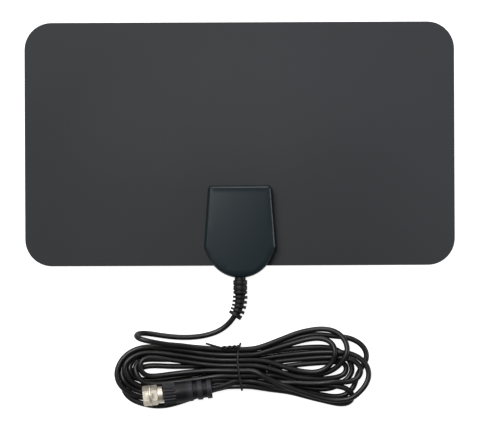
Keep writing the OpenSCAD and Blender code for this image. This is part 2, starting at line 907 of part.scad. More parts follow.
function hank_outline() =
    let (
        top = waist + [0, hank_waist_w / 2],
        bottom = waist - [0, hank_waist_w / 2],
        steps = 10
    )
    concat(
        arc(left_lobe, hank_left_r, 90, 270),
        blend_edge(left_lobe - [0, hank_left_r], bottom, steps),
        blend_edge_back(right_lobe - [0, hank_right_r], bottom, steps),
        arc(right_lobe, hank_right_r, -90, 90),
        blend_edge(right_lobe + [0, hank_right_r], top, steps),
        blend_edge_back(left_lobe + [0, hank_left_r], top, steps)
    );

function blend_edge_back(from, to, steps) =
    let (edge = blend_edge(from, to, steps))
    [for (i = [steps - 1:-1:1]) edge[i]];

module cable_hank() {
    color([0.16, 0.16, 0.16])
        difference() {
            linear_extrude(hank_t)
                polygon(hank_outline());
            translate([waist[0] - tie_drop, waist[1] - hank_waist_w, -overrun])
                cube([2 * tie_drop, 2 * hank_waist_w, tie_drop + overrun]);
            at_connector() {
                translate([0, 0, -overrun])
                    cylinder(h = boot_l + overrun + slab, d1 = boot_rear_d + 2 * bed_gap,
                        d2 = boot_front_d + 2 * bed_gap);
                translate([0, 0, boot_l])
                    cylinder(h = nut_front + bed_gap - boot_l, r = nut_ring_r + bed_gap);
            }
        }
}

// Tie: one wire, with a straight tail, a twisted stretch and a loop round the waist
function tie_route() =
    let (
        near = hank_waist_w / 2,
        out = near + tie_gap + tie_d / 2,
        low = tie_gap + tie_d / 2,
        high = hank_t + tie_gap + tie_d / 2,
        ease = tie_d / 4,
        twist_r = tie_d / 2 + tie_gap,
        twist_y = near - tie_d,
        twist_z = hank_t + 2 * twist_r,
        steps = ceil(tie_turns * cord_sides),
        tail = tie_tail_l * [-cos(tie_tail_turn), sin(tie_tail_turn)],
        coil_out = [for (i = [0:steps]) let (a = 360 * tie_turns * i / steps)
            [-tie_d - tie_twist_l * i / steps, twist_y - twist_r * cos(a), twist_z - twist_r * sin(a)]],
        coil_back = [for (i = [steps:-1:0]) let (a = 360 * tie_turns * i / steps)
            [-tie_d - tie_twist_l * i / steps, twist_y + twist_r * cos(a), twist_z + twist_r * sin(a)]],
        tail_from = coil_back[0] - [tie_d, 0, 0],
        loop = [
            [0, twist_y + twist_r + ease, high + ease], [0, out - ease, high], [0, out, high - ease],
            [0, out, low + ease], [0, out - ease, low], [0, ease - out, low], [0, -out, low + ease],
            [0, -out, high - ease], [0, ease - out, high], [0, 0, high],
            [-ease, twist_y - 2 * tie_d, high]
        ]
    )
    concat([tail_from + [tail[0], tail[1], 0], tail_from], coil_back, loop, coil_out);

module twist_tie() {
    route = [for (p = tie_route()) p + [waist[0], waist[1], 0]];
    color([0.14, 0.14, 0.14])
        route_tube(route, route_heading(route, 0), tie_d);
}

// Turns local +Z onto the connector's axis, towards the front of the nut
module at_connector() {
    translate([conn_x, conn_y, conn_z])
        rotate([0, 0, conn_yaw])
            rotate([0, -90, 0])
                children();
}

function boot_r(z) = (boot_rear_d + (boot_front_d - boot_rear_d) * z / boot_l) / 2;

module connector_boot() {
    ring_edges = [for (i = [1:4]) boot_ring_w * i];
    profile = [
        [0, 0], [boot_r(0) - boot_groove_depth / 2, 0], [boot_r(0), boot_groove_depth / 2],
        [boot_r(ring_edges[0]), ring_edges[0]],
        [boot_r(ring_edges[0]) - boot_groove_depth, ring_edges[0]],
        [boot_r(ring_edges[1]) - boot_groove_depth, ring_edges[1]],
        [boot_r(ring_edges[1]), ring_edges[1]],
        [boot_r(ring_edges[2]), ring_edges[2]],
        [boot_r(ring_edges[2]) - boot_groove_depth, ring_edges[2]],
        [boot_r(ring_edges[3]) - boot_groove_depth, ring_edges[3]],
        [boot_r(ring_edges[3]), ring_edges[3]],
        [boot_r(boot_l), boot_l - boot_groove_depth / 2],
        [boot_r(boot_l) - boot_groove_depth / 2, boot_l], [0, boot_l]
    ];
    color([0.17, 0.17, 0.2])
        at_connector()
            difference() {
                rotate_extrude()
                    polygon(profile);
                translate([0, 0, -overrun])
                    cylinder(h = body_rear + 2 * overrun, d = cable_d);
                translate([0, 0, body_rear])
                    cylinder(h = body_depth + overrun, d = neck_d);
                for (i = [0:flute_count - 1])
                    rotate([0, 0, 360 * i / flute_count])
                        translate([boot_front_d / 2 + flute_d / 4, 0, boot_l - flute_l])
                            cylinder(h = flute_l + overrun, d = flute_d, $fn = 24);
            }
}

module cable_plug_end() {
    color([0.16, 0.16, 0.16])
        at_connector()
            cylinder(h = body_rear, d = cable_d);
}

module connector_body() {
    color([0.8, 0.78, 0.72])
        at_connector()
            difference() {
                union() {
                    translate([0, 0, body_rear])
                        cylinder(h = neck_end - body_rear, d = neck_d);
                    translate([0, 0, neck_end])
                        cylinder(h = neck_flange_t, d = neck_flange_d);
                }
                translate([0, 0, body_rear - overrun])
                    cylinder(h = face_at - body_rear + 2 * overrun, d = body_bore_d);
            }
}

module connector_insulator() {
    color([0.93, 0.93, 0.9])
        at_connector()
            translate([0, 0, body_rear])
                difference() {
                    cylinder(h = face_at - body_rear, d = body_bore_d);
                    translate([0, 0, -overrun])
                        cylinder(h = face_at - body_rear + 2 * overrun, d = contact_root_d);
                }
}

module centre_contact() {
    color([0.75, 0.5, 0.25])
        at_connector()
            union() {
                translate([0, 0, body_rear])
                    cylinder(h = face_at - body_rear, d = contact_root_d);
                translate([0, 0, face_at])
                    cylinder(h = contact_l, d = contact_d);
            }
}

module coupling_nut() {
    color([0.8, 0.77, 0.7])
        at_connector()
            difference() {
                union() {
                    translate([0, 0, nut_rear])
                        cylinder(h = nut_collar_l + overrun, d = nut_collar_d);
                    intersection() {
                        translate([0, 0, hex_rear])
                            rotate([0, 0, 30])
                                cylinder(h = nut_hex_l, r = nut_corner_r, $fn = 6);
                        nut_chamfers();
                    }
                    nut_ring();
                }
                translate([0, 0, nut_rear - overrun])
                    cylinder(h = nut_web_t + 2 * overrun, d = neck_d + 2 * nut_fit);
                translate([0, 0, web_front])
                    cylinder(h = nut_front - web_front + overrun, d = nut_bore_d);
            }
}

// Raised ring round the hexagon, where fingers grip it
module nut_ring() {
    translate([0, 0, nut_front - nut_ring_drop - nut_ring_w])
        rotate_extrude()
            polygon([
                [0, 0], [nut_ring_r - nut_ring_ease, 0], [nut_ring_r, nut_ring_ease],
                [nut_ring_r, nut_ring_w - nut_ring_ease], [nut_ring_r - nut_ring_ease, nut_ring_w],
                [0, nut_ring_w]
            ]);
}

// Turned blank that bevels the hexagon's corners at both ends
module nut_chamfers() {
    flat_r = nut_corner_r - nut_chamfer;
    rear_slope = nut_chamfer * 1.6;
    front_slope = nut_chamfer * 0.6;
    rotate_extrude()
        polygon([
            [0, hex_rear], [flat_r, hex_rear], [nut_corner_r, hex_rear + rear_slope],
            [nut_corner_r, nut_front - front_slope], [flat_r, nut_front], [0, nut_front]
        ]);
}

front_film();
rear_film();
foil_element(-1);  // foil_element_left
foil_element(1);  // foil_element_right
front_cover();
rear_cover();
housing_screws();
circuit_board();
balun_core();
balun_winding();
chip_capacitors();
contact_rivets();
solder_joints();
cable_shield();
cable_insulation();
inner_conductor();
strain_relief();
cable_tail();
cable_lead();
cable_hank();
cable_end();
cable_plug_end();
twist_tie();
connector_boot();
connector_body();
connector_insulator();
centre_contact();
coupling_nut();
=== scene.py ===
"""Flat indoor TV antenna: a thin film panel, its small housing and its tied coaxial cable."""
import math

import bmesh
import bpy
import numpy as np
from bpy.props import FloatProperty, FloatVectorProperty, IntProperty, PointerProperty
from bpy.types import Operator, Panel, PropertyGroup
from mathutils import Matrix, Vector


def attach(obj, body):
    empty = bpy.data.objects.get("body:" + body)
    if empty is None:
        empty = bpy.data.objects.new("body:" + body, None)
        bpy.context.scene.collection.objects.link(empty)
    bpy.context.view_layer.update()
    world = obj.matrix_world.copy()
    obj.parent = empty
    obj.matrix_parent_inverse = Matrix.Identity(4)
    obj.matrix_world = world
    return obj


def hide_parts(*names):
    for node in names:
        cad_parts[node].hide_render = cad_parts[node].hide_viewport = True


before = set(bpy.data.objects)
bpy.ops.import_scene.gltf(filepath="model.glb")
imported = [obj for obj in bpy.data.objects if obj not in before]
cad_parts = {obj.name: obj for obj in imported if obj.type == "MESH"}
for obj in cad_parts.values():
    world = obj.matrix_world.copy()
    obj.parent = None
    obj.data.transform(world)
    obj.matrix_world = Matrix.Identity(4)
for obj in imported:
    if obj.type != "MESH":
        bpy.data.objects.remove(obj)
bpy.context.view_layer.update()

bl_info = {
    "name": "Flat TV antenna",
    "version": (1, 0, 0),
    "blender": (4, 5, 0),
    "location": "View3D > Sidebar > Antenna",
    "description": "Builds a flat indoor antenna with its tied cable, and the studio that it lies in",
    "category": "Add Mesh",
}

MM = 0.001


def linear(code):
    """Linear red, green and blue of an sRGB hex colour."""
    parts = [int(code[i:i + 2], 16) / 255 for i in (1, 3, 5)]
    return [c / 12.92 if c <= 0.04045 else ((c + 0.055) / 1.055) ** 2.4 for c in parts]


# Sizes and colours.


def colour(name, code, description):
    return FloatVectorProperty(name=name, description=description, subtype="COLOR", size=3,
                               min=0, max=1, default=linear(code))


def length(name, mm, description):
    return FloatProperty(name=name, description=description, unit="LENGTH", default=mm * MM,
                         min=0, precision=5)


class StageSettings(PropertyGroup):
    """Floor, lights and camera"""
    floor_colour: colour("Floor", "#e4e4e4", "Colour of the studio floor")
    view_width: length("View width", 301.7, "Width of floor that the camera frames")
    camera_height: length("Camera height", 3000, "Height of the camera over the floor")
    floor_glow: FloatProperty(name="Floor glow", description="Strength of the light that comes through the floor",
                              default=0.88, min=0)
    key_power: FloatProperty(name="Key light", description="Power of the soft light at the upper left, in watts",
                             default=70, min=0)
    top_power: FloatProperty(name="Top light", description="Power of the smaller light high at the upper left",
                             default=11, min=0)
    rim_power: FloatProperty(name="Rim lights", description="Power of the two low lights, in watts",
                             default=3, min=0)
    room_bright: FloatProperty(name="Bright side", description="Strength of the room's light at the upper left",
                               default=0.37, min=0)
    room_dim: FloatProperty(name="Dim side", description="Strength of the room's light at the lower right",
                            default=0.13, min=0)


class CableSettings(PropertyGroup):
    """Coaxial cable"""
    diameter: length("Diameter", 3.4, "Diameter of the cable's jacket")
    layer: length("Layer height", 3.0, "Height between layers of turns in the hank's plan")
    rounds: IntProperty(name="Settling rounds", description="Rounds of settling under gravity",
                        default=520, min=1)
    jacket: colour("Jacket", "#0b0b0b", "Colour of the PVC jacket")


class PanelSettings(PropertyGroup):
    """Film panel and what is laminated in it"""
    sag: length("Sag", 2.0, "How far the panel's outer edges sag to the floor")
    reach: length("Sag reach", 96, "Distance from the housing over which the sag grows")
    # Ends of a painted shading ramp over the film: the shaded colour at the lower left and the lit colour at the
    # upper right.
    film_painted_shade: colour("Film, dark", "#050c12", "Colour of the matt film at its lower left")
    film_painted_light: colour("Film, light", "#24272d", "Colour of the matt film at its upper right")
    foil: colour("Foil", "#c3c6c8", "Colour of the aluminium foil")


class HousingSettings(PropertyGroup):
    """Housing covers and their screws"""
    crown: length("Crown", 1.25, "How far the face's middle stands over its corners")
    draft: length("Wall draft", 0.6, "How far the side wall leans in on its way up")
    edge: length("Edge radius", 0.25, "Rounding of the rim's edges")
    cover: colour("Covers", "#081d24", "Colour of the moulded covers")
    screw: colour("Screws", "#a9adb0", "Colour of the zinc-plated screws")


class ReliefSettings(PropertyGroup):
    """Strain relief on the housing"""
    edge: length("Edge radius", 0.3, "Rounding of the fins' edges")
    rubber: colour("Rubber", "#070708", "Colour of the soft PVC")


class TieSettings(PropertyGroup):
    """Twist tie round the cable"""
    wire: length("Wire diameter", 1.3, "Diameter of the coated wire")
    turns: FloatProperty(name="Turns", description="Turns of the twisted stretch", default=1.8, min=0.5)
    coat: colour("Coating", "#0c0c0c", "Colour of the wire's coating")


class ConnectorSettings(PropertyGroup):
    """Moulded boot and coupling nut"""
    flutes: IntProperty(name="Flutes", description="Flutes round the front of the boot", default=20, min=4)
    flute_depth: length("Flute depth", 0.55, "Depth of the flutes")
    thread_pitch: length("Thread pitch", 0.79, "Pitch of the nut's inner thread")
    boot: colour("Boot", "#09090d", "Colour of the moulded boot")
    # Paler grey painted on the boot's raised rings and flute lands: a painted sheen for their highlights.
    worn: colour("Worn boot", "#2e2e34", "Colour of the boot's raised lands, rubbed pale")
    nickel: colour("Nickel", "#f2e9d8", "Colour of the nickel plating")
    copper: colour("Copper", "#c98a5e", "Colour of bare copper")
    insulator: colour("Insulator", "#eceae2", "Colour of the polyethylene insulator")


class CircuitSettings(PropertyGroup):
    """Matching transformer on its board, inside the housing"""
    mask: colour("Solder mask", "#1f5b34", "Colour of the board's solder mask")
    ferrite: colour("Ferrite", "#3a3a3c", "Colour of the transformer's ring")
    solder: colour("Solder", "#b9bcbe", "Colour of the solder")


# Materials.


def add_node(tree, kind, values=None, links=None):
    """Adds a node, sets its sockets and properties, and links outputs of other nodes to its inputs."""
    node = tree.nodes.new(kind)
    for key, value in (values or {}).items():
        if isinstance(key, int) or key in node.inputs:
            node.inputs[key].default_value = value
        else:
            setattr(node, key, value)
    for key, source in (links or {}).items():
        tree.links.new(source, node.inputs[key])
    return node


def start_material(name):
    material = bpy.data.materials.new(name)
    material.use_nodes = True
    tree = material.node_tree
    tree.nodes.clear()
    place = add_node(tree, "ShaderNodeTexCoord").outputs["Object"]
    return material, tree, place


def end_material(material, shader):
    add_node(material.node_tree, "ShaderNodeOutputMaterial", links={"Surface": shader.outputs[0]})
    return material


def noise(tree, place, size_mm, detail, roughness=0.5):
    """Noise with features of the given size, from 0 to 1."""
    return add_node(tree, "ShaderNodeTexNoise", {"Scale": 1000 / size_mm, "Detail": detail, "Roughness": roughness},
                    {"Vector": place}).outputs["Fac"]


def varied(tree, place, rgb, size_mm, spread):
    """The colour, lighter and darker by a small share in soft patches of the given size."""
    return add_node(tree, "ShaderNodeMix", {
        "data_type": "RGBA", 6: [c * (1 - spread) for c in rgb] + [1],
        7: [min(1, c * (1 + spread)) for c in rgb] + [1]}, {0: noise(tree, place, size_mm, 3)}).outputs[2]


def roughness_range(tree, place, size_mm, low, high):
    return add_node(tree, "ShaderNodeMapRange", {"From Min": 0.3, "From Max": 0.7, "To Min": low, "To Max": high},
                    {"Value": noise(tree, place, size_mm, 4)}).outputs[0]


def grain(tree, place, size_mm, height_mm):
    """A fine moulded or rolled grain as bump."""
    return add_node(tree, "ShaderNodeBump", {"Strength": 1, "Distance": height_mm * MM},
                    {"Height": noise(tree, place, size_mm, 2)}).outputs[0]


def matt_film(shaded_rgb, lit_rgb):
    # Black polyester film, calendered with a fine matt emboss: even sheen, no clear highlight. Its base colour
    # carries painted shading:
    # a ramp from a shaded blue-black at the lower left to a lit soft charcoal at the upper right, for the light
    # that falls more strongly there.
    material, tree, place = start_material("Matt black polyester film")
    # Painted shading: the base colour ramps from the shaded end to the lit end across the film.
    across = add_node(tree, "ShaderNodeVectorMath", {"operation": "DOT_PRODUCT", 1: (1, 1.2, 0)}, {0: place})
    painted_light_ramp = add_node(tree, "ShaderNodeMapRange", {"From Min": -130 * MM, "From Max": 110 * MM},
                     {"Value": across.outputs["Value"]})
    tint = add_node(tree, "ShaderNodeMix", {"data_type": "RGBA", 6: shaded_rgb + [1], 7: lit_rgb + [1]},
                    {0: painted_light_ramp.outputs[0]})
    shader = add_node(tree, "ShaderNodeBsdfPrincipled", {"IOR": 1.57}, {
        "Base Color": tint.outputs[2],
        "Roughness": roughness_range(tree, place, 60, 0.54, 0.56),
        "Normal": grain(tree, place, 0.5, 0.012)})
    return end_material(material, shader)


def spark_abs(name, rgb, low, high):
    # ABS from a spark-eroded mould: satin, with a grain of about 0.3 mm that breaks the highlight.
    material, tree, place = start_material(name)
    shader = add_node(tree, "ShaderNodeBsdfPrincipled", {"IOR": 1.48}, {
        "Base Color": varied(tree, place, rgb, 25, 0.03),
        "Roughness": roughness_range(tree, place, 30, low, high),
        "Normal": grain(tree, place, 0.35, 0.01)})
    return end_material(material, shader)


def soft_pvc(name, rgb, low, high, grain_mm, height_mm, gloss=0.5, land_sheen_rgb=None):
    # Plasticised PVC, moulded or extruded: soft sheen, faint flow marks and handling scuffs. Where the
    # mesh carries a value for it, the raised lands are painted a paler grey: a painted sheen for the light they
    # catch.
    material, tree, place = start_material(name)
    scuffed = add_node(tree, "ShaderNodeMapRange", {"From Min": 0.56, "From Max": 0.8, "To Max": 0.35},
                       {"Value": noise(tree, place, 2.2, 5, 0.7)})
    tint = add_node(tree, "ShaderNodeMix", {"data_type": "RGBA", 7: [min(1, c * 2.6 + 0.006) for c in rgb] + [1]},
                    {0: scuffed.outputs[0], 6: varied(tree, place, rgb, 14, 0.25)})
    base = tint.outputs[2]
    if land_sheen_rgb:
        worn = add_node(tree, "ShaderNodeAttribute", {"attribute_name": "worn"})
        base = add_node(tree, "ShaderNodeMix", {"data_type": "RGBA", 7: land_sheen_rgb + [1]},
                        {0: worn.outputs["Fac"], 6: base}).outputs[2]
    shader = add_node(tree, "ShaderNodeBsdfPrincipled", {"IOR": 1.53, "Specular IOR Level": gloss}, {
        "Base Color": base,
        "Roughness": roughness_range(tree, place, 5, low, high),
        "Normal": grain(tree, place, grain_mm, height_mm)})
    return end_material(material, shader)


def plated(name, rgb, low, high, scratch_mm=1.2):
    # Plated or bare metal: clean reflections, softened by a fine machining grain and light handling.
    material, tree, place = start_material(name)
    shader = add_node(tree, "ShaderNodeBsdfPrincipled", {"Metallic": 1}, {
        "Base Color": varied(tree, place, rgb, 4, 0.08),
        "Roughness": roughness_range(tree, place, scratch_mm, low, high),
        "Normal": grain(tree, place, 0.4, 0.004)})
    return end_material(material, shader)


def plain_solid(name, rgb, low, high, size_mm, ior):
    # Small parts inside the housing: even body colour with slight patches.
    material, tree, place = start_material(name)
    shader = add_node(tree, "ShaderNodeBsdfPrincipled", {"IOR": ior}, {
        "Base Color": varied(tree, place, rgb, size_mm, 0.1),
        "Roughness": roughness_range(tree, place, size_mm, low, high)})
    return end_material(material, shader)


def braided_copper(rgb):
    # Tinned copper braid: wires of 0.12 mm cross in a diamond weave, drawn as bands of 0.5 mm.
    material, tree, place = start_material("Tinned copper braid")
    bands = add_node(tree, "ShaderNodeTexWave", {"Scale": 1000 / 0.5 / math.tau * 3, "Distortion": 0.4,
                                                 "bands_direction": "DIAGONAL"}, {"Vector": place})
    bump = add_node(tree, "ShaderNodeBump", {"Strength": 1, "Distance": 0.05 * MM},
                    {"Height": bands.outputs["Fac"]})
    shader = add_node(tree, "ShaderNodeBsdfPrincipled", {"Metallic": 1}, {
        "Base Color": varied(tree, place, rgb, 2, 0.15),
        "Roughness": roughness_range(tree, place, 1, 0.3, 0.45), "Normal": bump.outputs[0]})
    return end_material(material, shader)


def studio_floor(rgb, glow):
    # Opal acrylic of a photographer's light table: dead matt. Its light from below goes straight up to
    # the camera and keeps the small gaps between strands white, and little of it strays to the sides.
    material, tree, place = start_material("Opal acrylic light table")
    ray = add_node(tree, "ShaderNodeLightPath")
    upward = add_node(tree, "ShaderNodeMath", {"operation": "MULTIPLY", 1: glow}, {0: ray.outputs["Is Camera Ray"]})
    shader = add_node(tree, "ShaderNodeBsdfPrincipled", {
        "Roughness": 0.9, "Specular IOR Level": 0.1, "Emission Color": (1, 1, 1, 1)},
        {"Base Color": varied(tree, place, rgb, 400, 0.004), "Emission Strength": upward.outputs[0]})
    return end_material(material, shader)


def dress(node, material):
    """Gives a carried-over node its material."""
    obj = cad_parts[node]
    if not obj.material_slots:
        obj.data.materials.append(material)
    for slot in obj.material_slots:
        slot.material = material


# Making pieces.


def put(name, data):
    """An object for the data, in the scene's own collection."""
    obj = bpy.data.objects.new(name, data)
    bpy.context.scene.collection.objects.link(obj)
    return obj


def put_piece(name, data, material, body):
    """An object that is a piece: it has a material and a slot, and rides on a body."""
    obj = put(name, data)
    data.materials.append(material)
    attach(obj, body)
    return obj


def finish_piece(name, bm, material, body="antenna", sharp=38):
    """Turns a bmesh in millimetres into a piece that rides on a body."""
    bmesh.ops.scale(bm, vec=(MM, MM, MM), verts=bm.verts)
    mesh = bpy.data.meshes.new(name)
    bm.to_mesh(mesh)
    bm.free()
    mesh.polygons.foreach_set("use_smooth", [True] * len(mesh.polygons))
    mesh.set_sharp_from_angle(angle=math.radians(sharp))
    return put_piece(name, mesh, material, body)


def turned(profile, steps=64):
    """A body of revolution round Z, from a few points given as radius and height."""
    bm = bmesh.new()
    verts = [bm.verts.new((r, 0, z)) for r, z in profile]
    edges = [bm.edges.new(pair) for pair in zip(verts, verts[1:])]
    bmesh.ops.spin(bm, geom=verts + edges, cent=(0, 0, 0), axis=(0, 0, 1), dvec=(0, 0, 0),
                   angle=math.tau, steps=steps, use_merge=True)
    bmesh.ops.remove_doubles(bm, verts=bm.verts, dist=0.0005)
    bmesh.ops.recalc_face_normals(bm, faces=bm.faces)
    return bm


def soften_edges(bm, width, segments=2, angle=30):
    """Rounds every edge that is sharper than the angle."""
    limit = math.radians(angle)
    edges = [e for e in bm.edges if len(e.link_faces) == 2 and e.calc_face_angle(0) > limit]
    bmesh.ops.bevel(bm, geom=edges, offset=width, offset_type="OFFSET", affect="EDGES", segments=segments,
                    profile=0.5, material=-1, clamp_overlap=True)


def slice_across(bm, axis, places, cuts):
    """Cuts geometry across an axis at several places, so that it can sag or bow there."""
    for at in places:
        point, normal = [0, 0, 0], [0, 0, 0]
        point[axis], normal[axis] = at, 1
        bmesh.ops.bisect_plane(bm, geom=cuts(), dist=0.0001, plane_co=point, plane_no=normal)


def spaced(line, step):
    """The line again, with points a step apart."""
    run = np.concatenate([[0], np.cumsum(np.linalg.norm(np.diff(line, axis=0), axis=1))])
    at = np.linspace(0, run[-1], max(2, int(round(run[-1] / step)) + 1))
    return np.column_stack([np.interp(at, run, line[:, k]) for k in range(3)])


def through(points, per=14):
    """A smooth curve through the points (centripetal Catmull-Rom)."""
    p = np.vstack([2 * points[0] - points[1], points, 2 * points[-1] - points[-2]])
    out = []
    for i in range(1, len(p) - 2):
        knots = [0.0]
        for k in range(3):
            knots.append(knots[-1] + max(np.linalg.norm(p[i + k] - p[i + k - 1]), 1e-6) ** 0.5)
        k0, k1, k2, k3 = knots
        t = np.linspace(k1, k2, per, endpoint=False)[:, None]
        a1 = (k1 - t) / (k1 - k0) * p[i - 1] + (t - k0) / (k1 - k0) * p[i]
        a2 = (k2 - t) / (k2 - k1) * p[i] + (t - k1) / (k2 - k1) * p[i + 1]
        a3 = (k3 - t) / (k3 - k2) * p[i + 1] + (t - k2) / (k3 - k2) * p[i + 2]
        b1 = (k2 - t) / (k2 - k0) * a1 + (t - k0) / (k2 - k0) * a2
        b2 = (k3 - t) / (k3 - k1) * a2 + (t - k1) / (k3 - k1) * a3
        out.append((k2 - t) / (k2 - k1) * b1 + (t - k1) / (k2 - k1) * b2)
    return np.vstack(out + [points[-1:]])


def softened(values, times, share=0.5):
    """Evens out a run of values along its length, ends held."""
    values = values.copy()
    for _ in range(times):
        middle = (values[:-2] + values[2:]) / 2
        values[1:-1] += (middle - values[1:-1]) * share
    return values


def wire_curve(name, lines, radius, material, sides):
    """A round wire along one or more lines of points in millimetres."""
    data = bpy.data.curves.new(name, "CURVE")
    data.dimensions = "3D"
    data.bevel_depth = radius * MM
    data.bevel_resolution = sides
    data.use_fill_caps = True
    for line in lines:
        spline = data.splines.new("POLY")
        spline.points.add(len(line) - 1)
        spline.points.foreach_set("co", np.column_stack([np.asarray(line) * MM, np.ones(len(line))]).ravel())
        spline.use_smooth = True
    return put_piece(name, data, material, "antenna")


# Cable: plan of the hank, in mm.

WAIST_X = -1.2
WAIST_Y = (-149.8, -123.7)
TIE_LIFT = 1.25
STEP = 2.6

# End of the strain relief, and the rear end and direction of the connector
RELIEF_END = np.array([-3.76, -104.41, 5.1])
BOOT_REAR = np.array([-17.6, -149.5, 10.4])
BOOT_YAW = math.radians(6.1)
BOOT_AXIS = np.array([-math.cos(BOOT_YAW), -math.sin(BOOT_YAW), 0.0])
BOOT_CLEAR_R = 6.75
# Stretch over which the lead passes from its planned route into the loose hank
LEAD_HELD = (85, 130)
CONNECTOR_L = 44
# Distance along the cable after which it belongs to the tied hank, and the held stretch before the boot
TIED_FROM = 150
END_HELD = 26
# Reach of the tie's pull to either side of it, and how fast the strands may spread with distance
WAIST_REACH = 22
WAIST_SPREAD = 0.012
# Height over the waist at the start of the settling and at its end
WAIST_ROOF = (30, 8.4)

# The same points as in the part's source: the lead to the hank, and the stretch into the boot
LEAD_ROUTE = [
    (-8, -110, 3.2), (-14, -114, 2), (-20, -116, 1.8), (-27, -117.3, 1.8), (-36, -117.6, 1.8), (-44, -117.1, 1.8),
    (-51, -116.1, 1.8), (-57, -115.1, 1.8), (-61.7, -114.5, 2.5), (-65, -114.8, 4.8), (-66.3, -116.1, 8),
    (-65.1, -117.5, 11.2), (-61.8, -118.6, 13.4), (-57.4, -119.6, 13.5), (-51, -120.9, 11.6), (-45, -122, 9.8),
]
# Where the lead comes down beside the tied strands
LEAD_LANDING = [(-37, -122.5, 7.9), (-25.5, -124.5, 5.9), (-13, -125.7, 4.9)]
END_ROUTE = [(-3.5, -146.8, 5.8), (-7, -147.6, 7.2), (-10.5, -148.4, 8.8), (-14.5, -149.1, 10)]

# Strands at the waist: Y, and layer from the floor
LANES = {
    "T1": (-125.8, 1), "T2": (-128.9, 1), "T3": (-132.1, 1), "T4": (-135.1, 1),
    "T5": (-137.2, 1), "T6": (-142.3, 1), "T7": (-145.3, 1), "T8": (-148.4, 1),
    "b1": (-124.9, 0), "b2": (-127.9, 0), "b3": (-131.1, 0), "b4": (-135.7, 0),
    "b5": (-138.5, 0), "b6": (-140.9, 0), "b7": (-144.1, 0), "b8": (-147.5, 0),
}

# Loops of the right lobe: X, Y and height in layers of points along each turn
RIGHT_LOOPS = {
    "B": [(11.4, -122.5, 1.2), (22.5, -120.0, 1.5), (39.3, -114.3, 2.0), (53.4, -112.5, 2.4),
          (61.8, -115.0, 2.8), (66.6, -121.3, 3.0), (67.1, -127.5, 3.0), (64.0, -133.5, 2.6),
          (59.0, -138.2, 2.0), (51.6, -142.0, 1.5), (41.5, -143.6, 1.0), (29.0, -143.0, 0.6),
          (16.4, -141.7, 0.2)],
    "A": [(16.9, -132.8, 2.0), (28.1, -136.6, 2.4), (40.3, -139.5, 2.8), (50.6, -139.4, 3.0),
          (56.6, -135.3, 3.0), (60.1, -130.3, 3.0), (60.0, -124.2, 3.0), (56.1, -119.6, 3.0),
          (48.1, -118.1, 2.9), (39.3, -119.5, 2.8), (28.1, -122.8, 2.5), (16.9, -126.2, 2.0)],
    "H": [(18.9, -147.2, 0), (31.5, -148.6, 0), (45.3, -149.6, 0), (56.6, -148.6, 0), (64.2, -145.8, 0),
          (67.7, -140.8, 0.2), (67.4, -134.5, 0.5), (64.5, -129.8, 0.9), (59.8, -126.5, 1.1),
          (53.5, -124.7, 1.0), (45.3, -124.3, 0.7), (35.3, -125.0, 0.4), (22.7, -126.3, 0.2)],
    "C": [(15.1, -137.2, 0.1), (26.5, -136.2, 0.3), (40.9, -134.3, 0.4), (55.4, -133.1, 0.6),
          (63.5, -132.6, 0.8), (68.7, -134.2, 1.1), (69.4, -138.4, 1.4), (65.8, -141.9, 1.5),
          (59.3, -143.3, 1.6), (49.1, -144.0, 1.7), (33.8, -143.0, 1.9), (16.9, -137.2, 1.6)],
    "E": [(13.9, -141.6, 1.5), (28.1, -148.3, 1.9), (39.3, -152.3, 2.1), (50.6, -155.8, 2.1),
          (61.8, -157.3, 2.1), (70.5, -155.0, 1.9), (77.0, -149.7, 1.7), (80.1, -145.0, 1.6),
          (80.9, -139.8, 1.6), (78.0, -133.7, 1.5), (72.3, -129.9, 1.4), (61.7, -127.3, 1.2),
          (42.8, -127.7, 0.8), (25.2, -129.2, 0.4)],
    "G": [(20.2, -142.5, 0.6), (31.5, -144.8, 0.3), (45.3, -147.0, 0.0), (54.7, -148.3, 0.0),
          (59.8, -148.2, 1.2), (65.7, -149.3, 2.2), (70.2, -152.3, 2.4), (71.0, -157.1, 1.6),
          (65.8, -160.0, 0.5), (57.3, -158.5, 0.0), (47.8, -155.2, 0.0), (35.3, -152.2, 0.0),
          (20.2, -149.7, 0.2)],
    "D": [(23.9, -132.7, 0.2), (40.9, -131.0, 0.4), (56.6, -130.2, 0.7), (67.9, -130.6, 0.9),
          (73.9, -133.1, 0.9), (76.4, -137.5, 0.9), (74.9, -143.0, 0.9), (70.2, -146.0, 0.9),
          (61.8, -146.9, 0.9), (50.6, -146.9, 0.8), (33.8, -145.5, 0.3), (18.9, -144.4, 0)],
    "F": [(13.9, -123.7, 0.3), (22.7, -122.0, 0.5), (31.5, -119.3, 0.6), (40.3, -116.7, 0.8),
          (49.1, -116.0, 0.9), (54.7, -116.5, 0.9), (59.8, -117.4, 0.8), (66.1, -117.6, 0.6),
          (73.0, -120.1, 0.3), (77.9, -124.2, 0.1), (80.0, -129.1, 0.0), (79.0, -133.5, 0.0),
          (76.1, -136.9, 0.0), (73.5, -140.4, 0.0), (72.5, -144.8, 0.0), (71.8, -149.6, 0.0),
          (68.3, -154.0, 0.0), (60.4, -155.5, 0.0), (49.1, -154.0, 0.0), (35.3, -150.2, 0.0),
          (20.2, -147.4, 0.2)],
}

